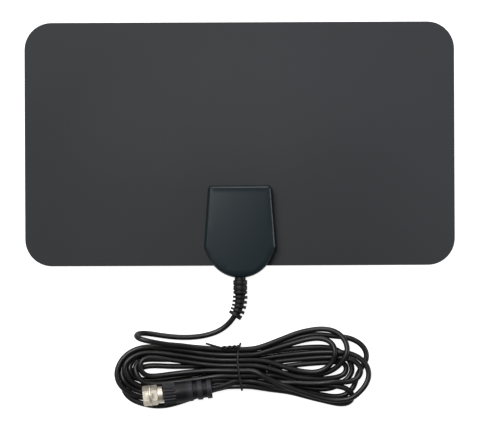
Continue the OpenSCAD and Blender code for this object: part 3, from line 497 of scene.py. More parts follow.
# Loops of the left lobe: middle X and Y, reach, half height, tilt, and heights at the upper shoulder, the tip
# and the lower shoulder
LEFT_LOOPS = {
    "La": (-56.5, -139.2, 20.4, 15.8, 0, (0.9, 1.3, 0.5)),
    "Lf": (-57.8, -138.9, 17.0, 14.0, 0, (0.3, 0.3, 0.0)),
    "Lc": (-57.8, -138.2, 15.1, 11.6, 0, (1.5, 1.5, 0.0)),
    "Lh": (-57.8, -136.4, 12.6, 8.0, 0, (0.2, 0.4, 0.0)),
    "Ld": (-55.9, -138.1, 11.0, 9.1, 0, (0.5, 1.4, 0.8)),
    "Le": (-58.6, -135.7, 6.9, 6.6, 0, (1.2, 1.4, 0.8)),
    "Lb": (-52.1, -147.8, 22.0, 12.8, -3, (0.0, 0.0, 0.0)),
}

# The winding, turn by turn: loop, lane that runs to it, lane that runs from it
WINDING = [
    ("B", "T1", "b6"), ("Lc", "b6", "T3"), ("A", "T3", "T2"), ("La", "T2", "b8"), ("H", "b8", "b2"),
    ("Lh", "b2", "b5"), ("C", "b5", "T4"), ("Le", "T4", "T5"), ("E", "T5", "b3"), ("Ld", "b3", "T6"),
    ("G", "T6", "T8"), ("Lb", "T8", "b4"), ("D", "b4", "b7"), ("Lf", "b7", "b1"), ("F", "b1", "T7"),
]


def left_loop(spec, lane_in, lane_out, radius, layer):
    """Points round one turn of the left lobe."""
    x, y, reach, half, tilt, heights = spec
    turn = math.radians(tilt)
    points = []
    for share in np.linspace(0, 1, 8):
        angle = math.radians(105 - 210 * share)
        u, v = -reach * math.cos(angle), half * math.sin(angle)
        height = np.interp(share, [0, 0.5, 1], heights)
        points.append((x + u * math.cos(turn) - v * math.sin(turn), y + u * math.sin(turn) + v * math.cos(turn),
                       radius + height * layer))
    return points if LANES[lane_in][0] > LANES[lane_out][0] else points[::-1]


def cable_plan(radius, layer):
    """The cable's whole route, laid out turn by turn: lead, hank and the stretch into the boot."""
    points = [tuple(RELIEF_END)] + LEAD_ROUTE + LEAD_LANDING
    for loop, lane_in, lane_out in WINDING:
        if loop in RIGHT_LOOPS:
            side, arc = 1, [(x, y, radius + h * layer) for x, y, h in RIGHT_LOOPS[loop]]
        else:
            side, arc = -1, left_loop(LEFT_LOOPS[loop], lane_in, lane_out, radius, layer)
        (y_in, layer_in), (y_out, layer_out) = LANES[lane_in], LANES[lane_out]
        points += [(WAIST_X + side * dx, y_in, radius + layer_in * layer) for dx in (2.5, 9)]
        points += arc
        points += [(WAIST_X + side * dx, y_out, radius + layer_out * layer) for dx in (9, 2.5)]
    points = points[:-1] + END_ROUTE + [tuple(BOOT_REAR)]
    line = spaced(through(np.array(points)), STEP)
    return spaced(softened(line, 4), STEP)


def near_pairs(p, reach):
    """Pairs of points that lie close together but not next to each other along the cable."""
    rows, cols = np.triu_indices(len(p), 5)
    gap = p[rows] - p[cols]
    close = np.einsum("ij,ij->i", gap, gap) < reach * reach
    return rows[close], cols[close]


def push_apart(p, pairs, free, diameter):
    """Moves overlapping stretches apart, half each."""
    count = len(p)
    move, hits = np.zeros_like(p), np.zeros(count)
    for i, j in (pairs, pairs[::-1]):
        for step in (-1, 1):
            a = p[j]
            s = p[np.clip(j + step, 0, count - 1)] - a
            t = np.einsum("ij,ij->i", p[i] - a, s) / np.maximum(np.einsum("ij,ij->i", s, s), 1e-9)
            off = p[i] - a - np.clip(t, 0, 1)[:, None] * s
            d = np.maximum(np.linalg.norm(off, axis=1), 1e-6)
            hit = d < diameter
            m = off[hit] / d[hit, None] * ((diameter - d[hit]) / 2)[:, None]
            for k in range(3):
                move[:, k] += np.bincount(i[hit], m[:, k], count) - np.bincount(j[hit], m[:, k], count)
            hits += np.bincount(i[hit], minlength=count) + np.bincount(j[hit], minlength=count)
    p += move / np.maximum(hits, 1)[:, None] * 1.5 * free[:, None]


def settle(plan, diameter, rounds):
    """Lets the planned cable come to rest: it falls, stays round, and lies on and beside itself."""
    radius = diameter / 2
    count = len(plan)
    p = plan.copy()
    free = np.ones(count)
    free[:2] = free[-2:] = 0
    run = np.arange(count) * STEP
    to_end = run[::-1]
    last = to_end < END_HELD
    held = np.where(last, 0.25, np.interp(run, LEAD_HELD, [0.5, 0.03])) * free
    held_up = np.where(last, 0.25, np.interp(run, LEAD_HELD, [0.6, 0]))
    tied_part = run > TIED_FROM
    pairs = None
    for k in range(rounds):
        share = k / rounds
        if k % 8 == 0:
            pairs = near_pairs(p, diameter * 1.5)
        passes = 2 if share < 0.9 else 1
        shift = softened(p - plan, passes)
        z = softened(p[:, 2] - 0.06 * free * (1 if share < 0.8 else 0.2), passes)
        shift[:, :2] *= (1 - held)[:, None]
        moved = plan + shift
        moved[:, 2] = z + (plan[:, 2] - z) * held_up
        p = np.where(free[:, None] > 0, moved, plan)
        for _ in range(4):
            push_apart(p, pairs, free, diameter)
        # strands stay outside the connector that lies on them
        rel = p - BOOT_REAR
        along = rel @ BOOT_AXIS
        off = rel - np.clip(along, -2, CONNECTOR_L)[:, None] * BOOT_AXIS
        d = np.linalg.norm(off, axis=1)
        need = BOOT_CLEAR_R + radius
        hit = (d < need) & (to_end > 22) & (along > -6)
        p[hit] += off[hit] / d[hit][:, None] * (need - d[hit])[:, None] * 0.7
        # the tie draws the waist together and lifts it off the floor by its own wire
        dx = np.abs(p[:, 0] - WAIST_X)
        tied = tied_part & (dx < WAIST_REACH)
        spare = WAIST_SPREAD * np.maximum(dx - 2, 0) ** 2
        spare_up = spare * np.where(p[:, 0] < WAIST_X, 0.25, 1)
        y = np.clip(p[:, 1], WAIST_Y[0] + radius + 0.1 - spare, WAIST_Y[1] - radius - 0.1 + spare_up)
        p[tied, 1] += 0.5 * (y - p[:, 1])[tied]
        roof = WAIST_ROOF[0] + (WAIST_ROOF[1] - WAIST_ROOF[0]) * min(1, share * 1.6) + 2 * spare
        p[tied, 2] += 0.3 * (np.minimum(p[:, 2], roof - radius) - p[:, 2])[tied]
        lift = np.where(tied_part, TIE_LIFT * np.exp(-(dx / 7) ** 2), 0)
        p[:, 2] = np.maximum(p[:, 2], radius + lift)
    return p


def top_of_cable(line, x, y, radius):
    """Height of the settled cable's surface over a point of the floor."""
    d = np.hypot(line[:, 0] - x, line[:, 1] - y)
    under = d < radius
    return float(np.max(line[under, 2] + np.sqrt(radius ** 2 - d[under] ** 2))) if under.any() else 0.0


class ANTENNA_OT_cable(Operator):
    """Winds and settles the coaxial cable from the strain relief to the connector's boot"""
    bl_idname = "antenna.cable"
    bl_label = "Cable"
    bl_options = {"REGISTER", "UNDO"}

    def execute(self, context):
        s = context.scene.antenna_cable
        diameter = s.diameter / MM
        plan = cable_plan(diameter / 2, s.layer / MM)
        rounds = s.rounds
        line = settle(plan, diameter, rounds)
        line = spaced(softened(through(line, 4), 2), 0.9)
        line[0], line[-1] = RELIEF_END, BOOT_REAR
        material = soft_pvc("Extruded PVC jacket", s.jacket, 0.33, 0.45, 0.6, 0.01)
        cable = wire_curve("cable", [line], diameter / 2, material, 5)
        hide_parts("cable_lead", "cable_hank", "cable_end")
        for node in ("cable_tail", "cable_plug_end"):
            dress(node, material)
        context.scene["antenna_cable_line"] = [float(v) for v in line.ravel()]
        return {"FINISHED"}


# Panel.

# Cuts that let the panel sag: reach to either side along X and Y, and spacing
PANEL_CUT_REACH = (135, 81)
PANEL_CUT_STEP = 9
# The stretch beside and above the housing that stays flat
FLAT_X, FLAT_Y = 24, -20


def sag_at(x, y, s):
    """How far the panel sags at a point: nothing over the housing, all of it at the outer edges."""
    away = math.hypot(max(abs(x) - FLAT_X, 0), max(y - FLAT_Y, 0))
    t = min(away / (s.reach / MM), 1)
    return s.sag / MM * t * t * (3 - 2 * t)


def sagging_copy(node, name, material, s):
    """A copy of a panel node that sags with the film."""
    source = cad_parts[node]
    bm = bmesh.new()
    bm.from_mesh(source.data)
    bmesh.ops.scale(bm, vec=(1000, 1000, 1000), verts=bm.verts)
    bmesh.ops.remove_doubles(bm, verts=bm.verts, dist=0.001)
    flat = [e for e in bm.edges if len(e.link_faces) == 2 and e.calc_face_angle(0) < 0.001]
    bmesh.ops.dissolve_edges(bm, edges=flat, use_verts=False)
    for axis, reach in enumerate(PANEL_CUT_REACH):
        slice_across(bm, axis, np.arange(-reach, reach, PANEL_CUT_STEP),
                     lambda: bm.verts[:] + bm.edges[:] + bm.faces[:])
    for v in bm.verts:
        v.co.z -= sag_at(v.co.x, v.co.y, s)
    bmesh.ops.triangulate(bm, faces=[f for f in bm.faces if len(f.verts) > 4])
    piece = finish_piece(name, bm, material, sharp=30)
    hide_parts(node)
    return piece


class ANTENNA_OT_panel(Operator):
    """Makes the two films and the foil between them, sagging gently from the housing to the floor"""
    bl_idname = "antenna.panel"
    bl_label = "Film panel"
    bl_options = {"REGISTER", "UNDO"}

    def execute(self, context):
        s = context.scene.antenna_panel
        film = matt_film(list(s.film_painted_shade), list(s.film_painted_light))
        foil = plated("Rolled aluminium foil", s.foil, 0.28, 0.4)
        for node in ("front_film", "rear_film"):
            sagging_copy(node, "panel_" + node, film, s)
        for node in ("foil_element_left", "foil_element_right"):
            sagging_copy(node, "panel_" + node, foil, s)
        return {"FINISHED"}


# Housing.

# Circles that the housing's outline runs round, counter-clockwise: X, Y, radius
HOUSING_CIRCLES = [(0, -58.65, 21.7), (17.7, -60.35, 5), (17.6, -24.65, 2.5), (-17.6, -24.65, 2.5),
                   (-17.7, -60.35, 5)]
COVER_Z = (2.7, 10.2)
COVER_CHAMFER = 1.0
COVER_WALL = 1.8
COVER_FACE = 1.5
# Cuts that let the face bow: axis, middle, half reach, and spacing
FACE_CUTS = ((0, 0, 20), (1, -51, 28))
FACE_CUT_STEP = 4
# Middle and half sizes of the face's crown
CROWN_MIDDLE_Y = -51
CROWN_REACH = (22, 29)


def touch_angle(a, b):
    """Outward angle of the line that touches two circles."""
    away = math.hypot(b[0] - a[0], b[1] - a[1])
    return math.atan2(b[1] - a[1], b[0] - a[0]) - math.acos((a[2] - b[2]) / away)


def housing_ring(bm, inset, z):
    """The housing's outline as a ring of edges, drawn in by an inset: an arc about each circle's middle."""
    edges, ends = [], []
    for k, (x, y, r) in enumerate(HOUSING_CIRCLES):
        start = touch_angle(HOUSING_CIRCLES[k - 1], HOUSING_CIRCLES[k])
        sweep = (touch_angle(HOUSING_CIRCLES[k], HOUSING_CIRCLES[(k + 1) % 5]) - start) % math.tau
        first = bm.verts.new((x + (r - inset) * math.cos(start), y + (r - inset) * math.sin(start), z))
        arc = bmesh.ops.spin(bm, geom=[first], cent=(x, y, z), axis=(0, 0, 1), angle=sweep,
                             steps=max(3, round(math.degrees(sweep) / 4)))
        last = next(g for g in arc["geom_last"] if isinstance(g, bmesh.types.BMVert))
        ends.append((first, last))
    for k, (first, last) in enumerate(ends):
        bm.edges.new((last, ends[(k + 1) % 5][0]))
    for e in bm.edges:
        if not e.link_faces and all(abs(v.co.z - z) < 0.001 for v in e.verts):
            edges.append(e)
    return edges


class ANTENNA_OT_housing(Operator):
    """Makes the front cover with its chamfered rim, and finishes the rear cover and the screws"""
    bl_idname = "antenna.housing"
    bl_label = "Housing"
    bl_options = {"REGISTER", "UNDO"}

    def execute(self, context):
        s = context.scene.antenna_housing
        abs_cover = spark_abs("Spark-textured ABS", s.cover, 0.34, 0.36)
        low, high = COVER_Z
        outer = bmesh.new()
        draft = s.draft / MM
        rings = [housing_ring(outer, inset, z) for inset, z in
                 ((0, low), (draft, high - COVER_CHAMFER), (draft + COVER_CHAMFER, high))]
        for lower, upper in zip(rings, rings[1:]):
            bmesh.ops.bridge_loops(outer, edges=lower + upper)
        bmesh.ops.contextual_create(outer, geom=rings[-1])
        corners = [e for e in outer.edges if len(e.link_faces) == 2 and e.calc_face_angle(0) > math.radians(25)
                   and abs(e.verts[0].co.z - e.verts[1].co.z) < 0.01]
        bmesh.ops.bevel(outer, geom=corners, offset=s.edge / MM, affect="EDGES", segments=3, profile=0.5,
                        material=-1)
        for axis, middle, half in FACE_CUTS:
            slice_across(outer, axis, np.arange(middle - half, middle + half + 1, FACE_CUT_STEP), lambda: list(
                {g for f in outer.faces if f.normal.z ** 2 > 0.99 for g in [f, *f.edges, *f.verts]}))
        for v in outer.verts:
            if v.co.z > high - 0.01:
                x, y = v.co.x / CROWN_REACH[0], (v.co.y - CROWN_MIDDLE_Y) / CROWN_REACH[1]
                v.co.z += s.crown / MM * (1 - x * x - y * y) / 2
        inner = bmesh.new()
        lower, upper = housing_ring(inner, COVER_WALL, low), housing_ring(inner, COVER_WALL, high - COVER_FACE)
        bmesh.ops.bridge_loops(inner, edges=lower + upper)
        bmesh.ops.contextual_create(inner, geom=upper)
        inside = bpy.data.meshes.new("inside")
        inner.to_mesh(inside)
        inner.free()
        outer.from_mesh(inside)
        bpy.data.meshes.remove(inside)
        mouth = [e for e in outer.edges
                 if len(e.link_faces) == 1 and all(abs(v.co.z - low) < 0.001 for v in e.verts)]
        bmesh.ops.bridge_loops(outer, edges=mouth)
        bmesh.ops.recalc_face_normals(outer, faces=outer.faces)
        cover = finish_piece("housing_front_cover", outer, abs_cover)
        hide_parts("front_cover")
        dress("rear_cover", abs_cover)
        dress("housing_screws", plated("Zinc-plated steel", s.screw, 0.25, 0.4))
        return {"FINISHED"}


# Strain relief.

RELIEF_START_Y = -80.35
RELIEF_STRAIGHT = 10.0
RELIEF_BENDS = ((35.0, 7.4), (18.0, 7.4))
RELIEF_Z = 5.1
# The flange in the housing is an oval, this much lower than wide
RELIEF_FLANGE_SHARE = 0.64
# Rings of the neck and fins, as stations along the relief, with their radii
RELIEF_RINGS = ((1.5, 4.2), (4.9, 7.5), (8.3, 9.8))
RELIEF_RING_R, RELIEF_GROOVE_R = 4.4, 3.95
RELIEF_FINS = (12, 14.85, 17.7, 20.55)
RELIEF_FIN_HALF = 0.8
RELIEF_FIN_R, RELIEF_CORE_R = 4.65, 3.1
# How much narrower each fin and the core are than at the fin before
RELIEF_FIN_STEP, RELIEF_CORE_STEP = 0.03, 0.14


def relief_pose(station):
    """Point and heading angle on the strain relief's middle line, which bends in two arcs."""
    x, y, angle = 0.0, RELIEF_START_Y - min(station, RELIEF_STRAIGHT), 0.0
    left = station - RELIEF_STRAIGHT
    for r, run in RELIEF_BENDS:
        if left <= 0:
            break
        turn = min(left, run) / r if (r, run) != RELIEF_BENDS[-1] else left / r
        x -= r * (math.cos(angle) - math.cos(angle + turn))
        y -= r * (math.sin(angle + turn) - math.sin(angle))
        angle += turn
        left -= run
    return x, y, angle


class ANTENNA_OT_relief(Operator):
    """Makes the ribbed strain relief that guides the cable out of the housing"""
    bl_idname = "antenna.relief"
    bl_label = "Strain relief"
    bl_options = {"REGISTER", "UNDO"}

    def execute(self, context):
        s = context.scene.antenna_relief
        rubber = soft_pvc("Moulded soft PVC", s.rubber, 0.48, 0.58, 0.5, 0.012, 0.38)
        profile = [(0, -3.6), (5.4, -3.6), (5.4, -1.9), (3.48, -1.85), (3.48, 1.2)]
        for start, end in RELIEF_RINGS:
            profile += [(RELIEF_GROOVE_R, start - 0.1), (RELIEF_RING_R, start), (RELIEF_RING_R, end),
                        (RELIEF_GROOVE_R, end + 0.1)]
        profile += [(3.5, 10.1), (RELIEF_CORE_R, 10.8)]
        for k, station in enumerate(RELIEF_FINS):
            fin, core = RELIEF_FIN_R - RELIEF_FIN_STEP * k, RELIEF_CORE_R - RELIEF_CORE_STEP * k
            near, far = station - RELIEF_FIN_HALF, station + RELIEF_FIN_HALF
            profile += [(core, near - 0.05), (fin, near), (fin, far), (core - 0.05, far + 0.05)]
        profile += [(2.45, 22.35), (4.35, 22.45), (4.4, 24.5), (4.1, 24.8), (1.72, 24.8), (1.72, 23.5), (0, 23.5)]
        bm = turned(profile, 56)
        soften_edges(bm, s.edge / MM / 2, 2)
        for v in bm.verts:
            across, up, station = v.co
            if station < -1.87:
                up *= RELIEF_FLANGE_SHARE
            x, y, angle = relief_pose(station)
            v.co = (x + across * math.cos(angle), y - across * math.sin(angle), RELIEF_Z + up)
        relief = finish_piece("strain_relief_boot", bm, rubber, sharp=50)
        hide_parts("strain_relief")
        return {"FINISHED"}


# Twist tie.

# How the loop bows to the right of the waist's middle: Y, and offset along X
TIE_BOW = ((-151, 2.1), (-144.6, 0.8), (-137.8, -0.2), (-131.5, -0.75), (-125.8, -0.2), (-121.3, 1.26))
# Beyond this Y the loop stands off the strands
TIE_LOOSE_Y = -126
# Start and end of the twisted pair, and the straight tail after it
TIE_PAIR = ((-1.4, -123.4), (-12.2, -124.2))
TIE_TAIL_TURN = 0.28
TIE_TAIL_L = 10.0


class ANTENNA_OT_tie(Operator):
    """Bends the twist tie round the waist of the hank, with its twisted pair and tail"""
    bl_idname = "antenna.tie"
    bl_label = "Twist tie"
    bl_options = {"REGISTER", "UNDO"}

    def execute(self, context):
        s = context.scene.antenna_tie
        r = s.wire / MM / 2
        cord_r = context.scene.antenna_cable.diameter / MM / 2
        line = np.array(context.scene["antenna_cable_line"]).reshape(-1, 3)
        waist = line[(np.abs(line[:, 0] - WAIST_X) < 1.6) & (np.arange(len(line)) > 160)]
        loop = []
        for angle in np.linspace(math.radians(20), math.radians(58 - 360), 120):
            out = np.array([math.cos(angle), math.sin(angle)])
            at = waist[np.argmax(waist[:, 1:] @ out), 1:] + out * (cord_r + r + 0.05)
            loop.append([WAIST_X, at[0], max(at[1], r)])
        loop = spaced(np.array(loop), 0.6)
        loop[:, 1] += np.maximum(loop[:, 1] - TIE_LOOSE_Y, 0) * 0.5
        loop[:, 0] += np.interp(loop[:, 1], *np.transpose(TIE_BOW))
        loop = softened(loop, 3)
        (start_x, start_y), (end_x, end_y) = TIE_PAIR
        edge = [top_of_cable(line, x, end_y - 0.9, cord_r) for x in np.linspace(start_x, end_x, 12)]
        level = max(edge) + 1.4 * r
        pair = []
        for phase in (0, math.pi):
            strand = []
            for t in np.linspace(0, 1, 80):
                angle = phase + s.turns * math.tau * t ** 0.85
                x, y = start_x + (end_x - start_x) * t, start_y + (end_y - start_y) * t
                strand.append([x, y + r * 1.02 * math.cos(angle), level + r * 1.02 * math.sin(angle)])
            pair.append(np.array(strand))
        strands = []
        for strand, end, before in zip(pair, (loop[-1], loop[0]), (loop[-3], loop[2])):
            middle = (end * 2 + strand[0]) / 3 + (end - before) * 0.3
            join = through(np.array([before, end, middle, strand[0], strand[2]]), 8)
            strands.append(np.vstack([join[8:24], strand[1:]]))
        last = pair[0][-1]
        tail = [last + np.array([-math.cos(TIE_TAIL_TURN), math.sin(TIE_TAIL_TURN), 0.02]) * d
                for d in np.linspace(0, TIE_TAIL_L, 16)]
        strands[0] = np.vstack([strands[0], softened(np.array(tail), 2)[1:]])
        material = soft_pvc("PVC-coated tie wire", s.coat, 0.35, 0.5, 0.5, 0.008)
        tie = wire_curve("twist_tie_wire", [loop] + strands, r, material, 3)
        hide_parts("twist_tie")
        return {"FINISHED"}


# Connector.


def place_on_connector(bm):
    """Moves a piece built along Z to the connector's place and direction."""
    z = Vector(BOOT_AXIS)
    y = Vector((0, 0, 1))
    x = y.cross(z)
    turn = Matrix((x, y, z)).transposed().to_4x4()
    bmesh.ops.transform(bm, matrix=Matrix.Translation(BOOT_REAR) @ turn, verts=bm.verts)
    return bm


# Length and rear radius of the boot, which is a millimetre wider at its front
BOOT_L = 31.0
BOOT_REAR_R = 5.9
# Rings and grooves behind its body: start of the first, width of each, and depth of a groove
BOOT_START = 0.5
BOOT_RING_W = 3.0
BOOT_GROOVE_DEPTH = 0.9
# Where the flutes start, and how soon they have their full depth
FLUTES_FROM = 22.9
FLUTES_EASE = 0.8


class ANTENNA_OT_boot(Operator):
    """Moulds the connector's boot with its flutes and rings"""
    bl_idname = "antenna.boot"
    bl_label = "Connector boot"
    bl_options = {"REGISTER", "UNDO"}

    def execute(self, context):
        s = context.scene.antenna_connector
        rubber = soft_pvc("Moulded boot PVC", s.boot, 0.42, 0.52, 0.45, 0.015, 0.36, list(s.worn))

        def r(z):
            return BOOT_REAR_R + z / BOOT_L

        start, depth = BOOT_START, BOOT_GROOVE_DEPTH
        profile = [(1.74, 1.5), (1.74, start), (r(0) - 0.3, start), (r(0), start + 0.3)]
        for k in range(2):
            a = start + BOOT_RING_W * (2 * k + 1)
            b = a + BOOT_RING_W
            profile += [(r(a) - 0.15, a), (r(a) - depth, a + 0.15), (r(b) - depth, b - 0.15), (r(b) - 0.15, b),
                        (r(b), b + 0.15)]
        profile += [(r(z), z) for z in (14, 17, 20, 22.4, 23.0, 23.4)]
        profile += [(r(z), z) for z in np.linspace(24.2, 30.4, 8)]
        profile += [(r(BOOT_L) - 0.35, BOOT_L), (3.52, BOOT_L), (3.52, 16.2), (1.74, 16), (1.74, 14)]
        bm = turned(profile, s.flutes * 8)
        # Painted sheen: the raised rings and the lands between the flutes are marked to take a paler grey, as if
        # they caught the light.
        worn = bm.verts.layers.float.new("worn")
        for v in bm.verts:
            radius = math.hypot(v.co.x, v.co.y)
            if v.co.z < start + 5 * BOOT_RING_W and radius > r(v.co.z) - 0.2:
                v[worn] = 1
            if radius > 6 and v.co.z > FLUTES_FROM:
                turn = math.atan2(v.co.y, v.co.x) * s.flutes / math.tau % 1
                cut = max(0, 1 - ((turn - 0.5) / 0.3) ** 2) ** 0.5
                ease = min(1, (v.co.z - FLUTES_FROM) / FLUTES_EASE)
                v[worn] = ease * (1 - cut)
                k = 1 - s.flute_depth / MM * cut * ease / radius
                v.co.x *= k
                v.co.y *= k
        boot = finish_piece("boot_moulding", place_on_connector(bm), rubber)
        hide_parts("connector_boot")
        return {"FINISHED"}


# Coupling nut: stations along the connector, size across flats, and start, end and radius of the bead
NUT_REAR, WEB_FRONT, HEX_REAR, NUT_FRONT = 31.3, 33.1, 34.4, 43.9
NUT_FLATS = 11.1
NUT_BEAD = (38.2, 40.1, 6.7)
NUT_COLLAR_R, NUT_WEB_R, NUT_BORE_R = 5.2, 3.56, 4.4
NUT_THREAD_DEPTH = 0.38
# Distances from the hexagon's ends at which its chamfer is drawn
CHAMFER_STEPS = (0, 0.08, 0.16, 0.26, 0.4, 0.55, 0.75)


class ANTENNA_OT_nut(Operator):
    """Makes the coupling nut: hexagon with a bead, rear collar, web and inner thread"""
    bl_idname = "antenna.nut"
    bl_label = "Coupling nut"
    bl_options = {"REGISTER", "UNDO"}

    def execute(self, context):
        s = context.scene.antenna_connector
        nickel = plated("Nickel-plated brass", s.nickel, 0.44, 0.5, 8)
        pitch = s.thread_pitch / MM
        bead_from, bead_to, bead_r = NUT_BEAD
        corner = NUT_FLATS / math.sqrt(3)
        heights = sorted(set(
            [round(HEX_REAR + d, 3) for d in CHAMFER_STEPS] + [round(NUT_FRONT - d, 3) for d in CHAMFER_STEPS]
            + [round(h, 3) for h in np.linspace(bead_from, bead_to, 9)] + [36.2, 37.4, 41.2, 42.4]))
        profile = [(NUT_WEB_R, WEB_FRONT), (NUT_WEB_R, NUT_REAR + 0.2), (NUT_WEB_R + 0.2, NUT_REAR),
                   (NUT_COLLAR_R - 0.25, NUT_REAR), (NUT_COLLAR_R, NUT_REAR + 0.25), (NUT_COLLAR_R, HEX_REAR)]
        profile += [(corner, h) for h in heights]
        profile += [(NUT_BORE_R + 0.35, NUT_FRONT), (NUT_BORE_R, NUT_FRONT - 0.35)]
        profile += [(NUT_BORE_R, h) for h in np.arange(NUT_FRONT - 0.45, WEB_FRONT + 0.6, -0.1)]
        profile += [(NUT_BORE_R, WEB_FRONT), (NUT_WEB_R, WEB_FRONT)]
        bm = turned(profile, 144)
        for v in bm.verts:
            radius = math.hypot(v.co.x, v.co.y)
            angle = math.atan2(v.co.y, v.co.x)
            z = v.co.z
            if radius > NUT_COLLAR_R + 0.1:
                side = (angle + math.pi / 6) % (math.pi / 3) - math.pi / 6
                flat = NUT_FLATS / 2 / math.cos(side)
                chamfer = NUT_FLATS / 2 * 0.97 + min(z - HEX_REAR, NUT_FRONT - z) * 1.9
                wanted = min(flat, chamfer)
                if bead_from - 0.001 <= z <= bead_to + 0.001:
                    bow = math.sin(math.pi * (z - bead_from) / (bead_to - bead_from)) ** 0.5
                    wanted = max(wanted, bead_r - 0.75 + 0.75 * bow)
            elif abs(radius - NUT_BORE_R) < 0.1 and WEB_FRONT + 0.6 < z < NUT_FRONT - 0.4:
                wave = abs(((z / pitch - angle / math.tau) % 1) - 0.5) * 2
                wanted = NUT_BORE_R + NUT_THREAD_DEPTH * wave
            else:
                continue
            v.co.x *= wanted / radius
            v.co.y *= wanted / radius
        bmesh.ops.rotate(bm, cent=(0, 0, 0), matrix=Matrix.Rotation(math.pi / 2, 3, "Z"), verts=bm.verts)
        nut = finish_piece("coupling_nut_turned", place_on_connector(bm), nickel, body="nut", sharp=28)
        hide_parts("coupling_nut")
        dress("connector_body", nickel)
        dress("connector_insulator", plain_solid("White polyethylene", s.insulator, 0.3, 0.4, 3, 1.51))
        copper = plated("Bare copper", s.copper, 0.25, 0.4)
        dress("centre_contact", copper)
        dress("inner_conductor", copper)
        return {"FINISHED"}


# Circuit.


class ANTENNA_OT_circuit(Operator):
    """Finishes the board, the transformer and the cable's stripped end inside the housing"""
    bl_idname = "antenna.circuit"
    bl_label = "Circuit"
    bl_options = {"REGISTER", "UNDO"}

    def execute(self, context):
        s = context.scene.antenna_circuit
        dress("circuit_board", plain_solid("Solder-masked glass epoxy", s.mask, 0.25, 0.35, 4, 1.55))
        dress("balun_core", plain_solid("Sintered ferrite", s.ferrite, 0.55, 0.7, 1, 1.6))
        dress("balun_winding", plated("Enamelled copper wire", linear("#a8542c"), 0.2, 0.3))
        dress("chip_capacitors", plain_solid("Fired ceramic", linear("#9b7d5e"), 0.35, 0.5, 0.6, 1.6))
        dress("contact_rivets", plated("Tinned brass", linear("#b8b3a6"), 0.3, 0.45))
        dress("solder_joints", plated("Tin solder", s.solder, 0.18, 0.35))
        dress("cable_shield", braided_copper(linear("#b98b66")))
        dress("cable_insulation", plain_solid("Foamed polyethylene", linear("#efefea"), 0.45, 0.6, 0.5, 1.5))
        return {"FINISHED"}


# Stage.


# Place of the camera over the floor, its roll, and the point that the lights face, in metres
CAMERA_PLACE = (0.00006, -0.0402)
CAMERA_ROLL = math.radians(-0.24)
LIGHTS_FACE = Vector((0, -0.04, 0))
# Name, setting of its power, diameter and place of each light, in metres
LIGHTS = (("key_light", "key_power", 2.2, (-1.4, 1.7, 3)), ("top_light", "top_power", 0.5, (-0.65, 0.72, 3)),
          ("far_rim_light", "rim_power", 0.4, (0.1, 1.3, 0.25)),
          ("right_rim_light", "rim_power", 0.4, (1.3, 0, 0.25)))


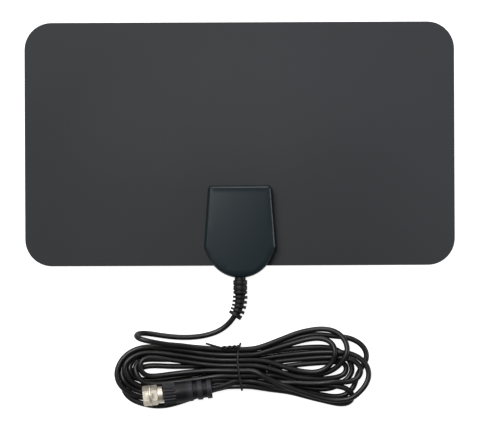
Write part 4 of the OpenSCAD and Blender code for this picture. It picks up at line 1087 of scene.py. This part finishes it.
class ANTENNA_OT_stage(Operator):
    """Sets the camera over the antenna, the white floor and the soft lights"""
    bl_idname = "antenna.stage"
    bl_label = "Stage"
    bl_options = {"REGISTER", "UNDO"}

    def execute(self, context):
        scene = context.scene
        s = scene.antenna_stage
        lens = bpy.data.cameras.new("camera")
        lens.sensor_fit = "HORIZONTAL"
        lens.sensor_width = 36
        lens.lens = 36 * s.camera_height / s.view_width
        lens.clip_end = 20
        camera = put("camera", lens)
        camera.location = (*CAMERA_PLACE, s.camera_height)
        camera.rotation_euler = (0, 0, CAMERA_ROLL)
        scene.camera = camera

        bm = bmesh.new()
        bmesh.ops.create_grid(bm, x_segments=1, y_segments=1, size=3)
        mesh = bpy.data.meshes.new("floor")
        bm.to_mesh(mesh)
        bm.free()
        floor = put("floor", mesh)
        mesh.materials.append(studio_floor(list(s.floor_colour), s.floor_glow))

        for name, power, size, place in LIGHTS:
            data = bpy.data.lights.new(name, "AREA")
            data.shape = "DISK"
            data.size = size
            data.energy = getattr(s, power)
            light = put(name, data)
            light.location = place
            light.rotation_euler = (LIGHTS_FACE - Vector(place)).to_track_quat("-Z", "Y").to_euler()
            light.visible_camera = False

        world = bpy.data.worlds.new("room")
        world.use_nodes = True
        world.node_tree.nodes.clear()
        tree = world.node_tree
        toward = add_node(tree, "ShaderNodeTexCoord").outputs["Generated"]
        side = add_node(tree, "ShaderNodeVectorMath", {"operation": "DOT_PRODUCT", 1: (-0.55, 0.55, 0.63)},
                        {0: toward})
        strength = add_node(tree, "ShaderNodeMapRange", {
            "From Min": 0.1, "From Max": 1, "To Min": s.room_dim, "To Max": s.room_bright},
            {"Value": side.outputs["Value"]})
        room = add_node(tree, "ShaderNodeBackground", {"Color": (1, 1, 1, 1)}, {"Strength": strength.outputs[0]})
        add_node(tree, "ShaderNodeOutputWorld", links={"Surface": room.outputs[0]})
        scene.world = world
        scene.view_settings.view_transform = "Standard"
        scene.view_settings.look = "None"
        return {"FINISHED"}


class ANTENNA_OT_declare_cable(Operator):
    bl_idname = "antenna.declare_cable"
    bl_label = "Declare cable"

    def execute(self, context):
        del context.scene["antenna_cable_line"]
        return {"FINISHED"}


SETTINGS = {
    "antenna_stage": StageSettings, "antenna_cable": CableSettings, "antenna_panel": PanelSettings,
    "antenna_housing": HousingSettings, "antenna_relief": ReliefSettings, "antenna_tie": TieSettings,
    "antenna_connector": ConnectorSettings, "antenna_circuit": CircuitSettings,
}
STEPS = [ANTENNA_OT_stage, ANTENNA_OT_cable, ANTENNA_OT_panel, ANTENNA_OT_housing, ANTENNA_OT_relief,
         ANTENNA_OT_tie, ANTENNA_OT_boot, ANTENNA_OT_nut, ANTENNA_OT_circuit, ANTENNA_OT_declare_cable]


class ANTENNA_PT_pieces(Panel):
    """Lists the pieces of the antenna with their sizes and colours"""
    bl_idname = "ANTENNA_PT_pieces"
    bl_label = "Flat TV antenna"
    bl_space_type = "VIEW_3D"
    bl_region_type = "UI"
    bl_category = "Antenna"

    def draw(self, context):
        layout = self.layout
        for step in STEPS:
            layout.operator(step.bl_idname)
        for name, group in SETTINGS.items():
            box = layout.box()
            box.label(text=group.__doc__)
            for prop in group.__annotations__:
                box.prop(getattr(context.scene, name), prop)


CLASSES = list(SETTINGS.values()) + STEPS + [ANTENNA_PT_pieces]


def register():
    for cls in CLASSES:
        bpy.utils.register_class(cls)
    for name, group in SETTINGS.items():
        setattr(bpy.types.Scene, name, PointerProperty(type=group))


def unregister():
    for name in SETTINGS:
        delattr(bpy.types.Scene, name)
    for cls in reversed(CLASSES):
        bpy.utils.unregister_class(cls)


def main():
    register()
    for step in STEPS:
        group, name = step.bl_idname.split(".")
        getattr(getattr(bpy.ops, group), name)()


if __name__ == "__main__":
    main()
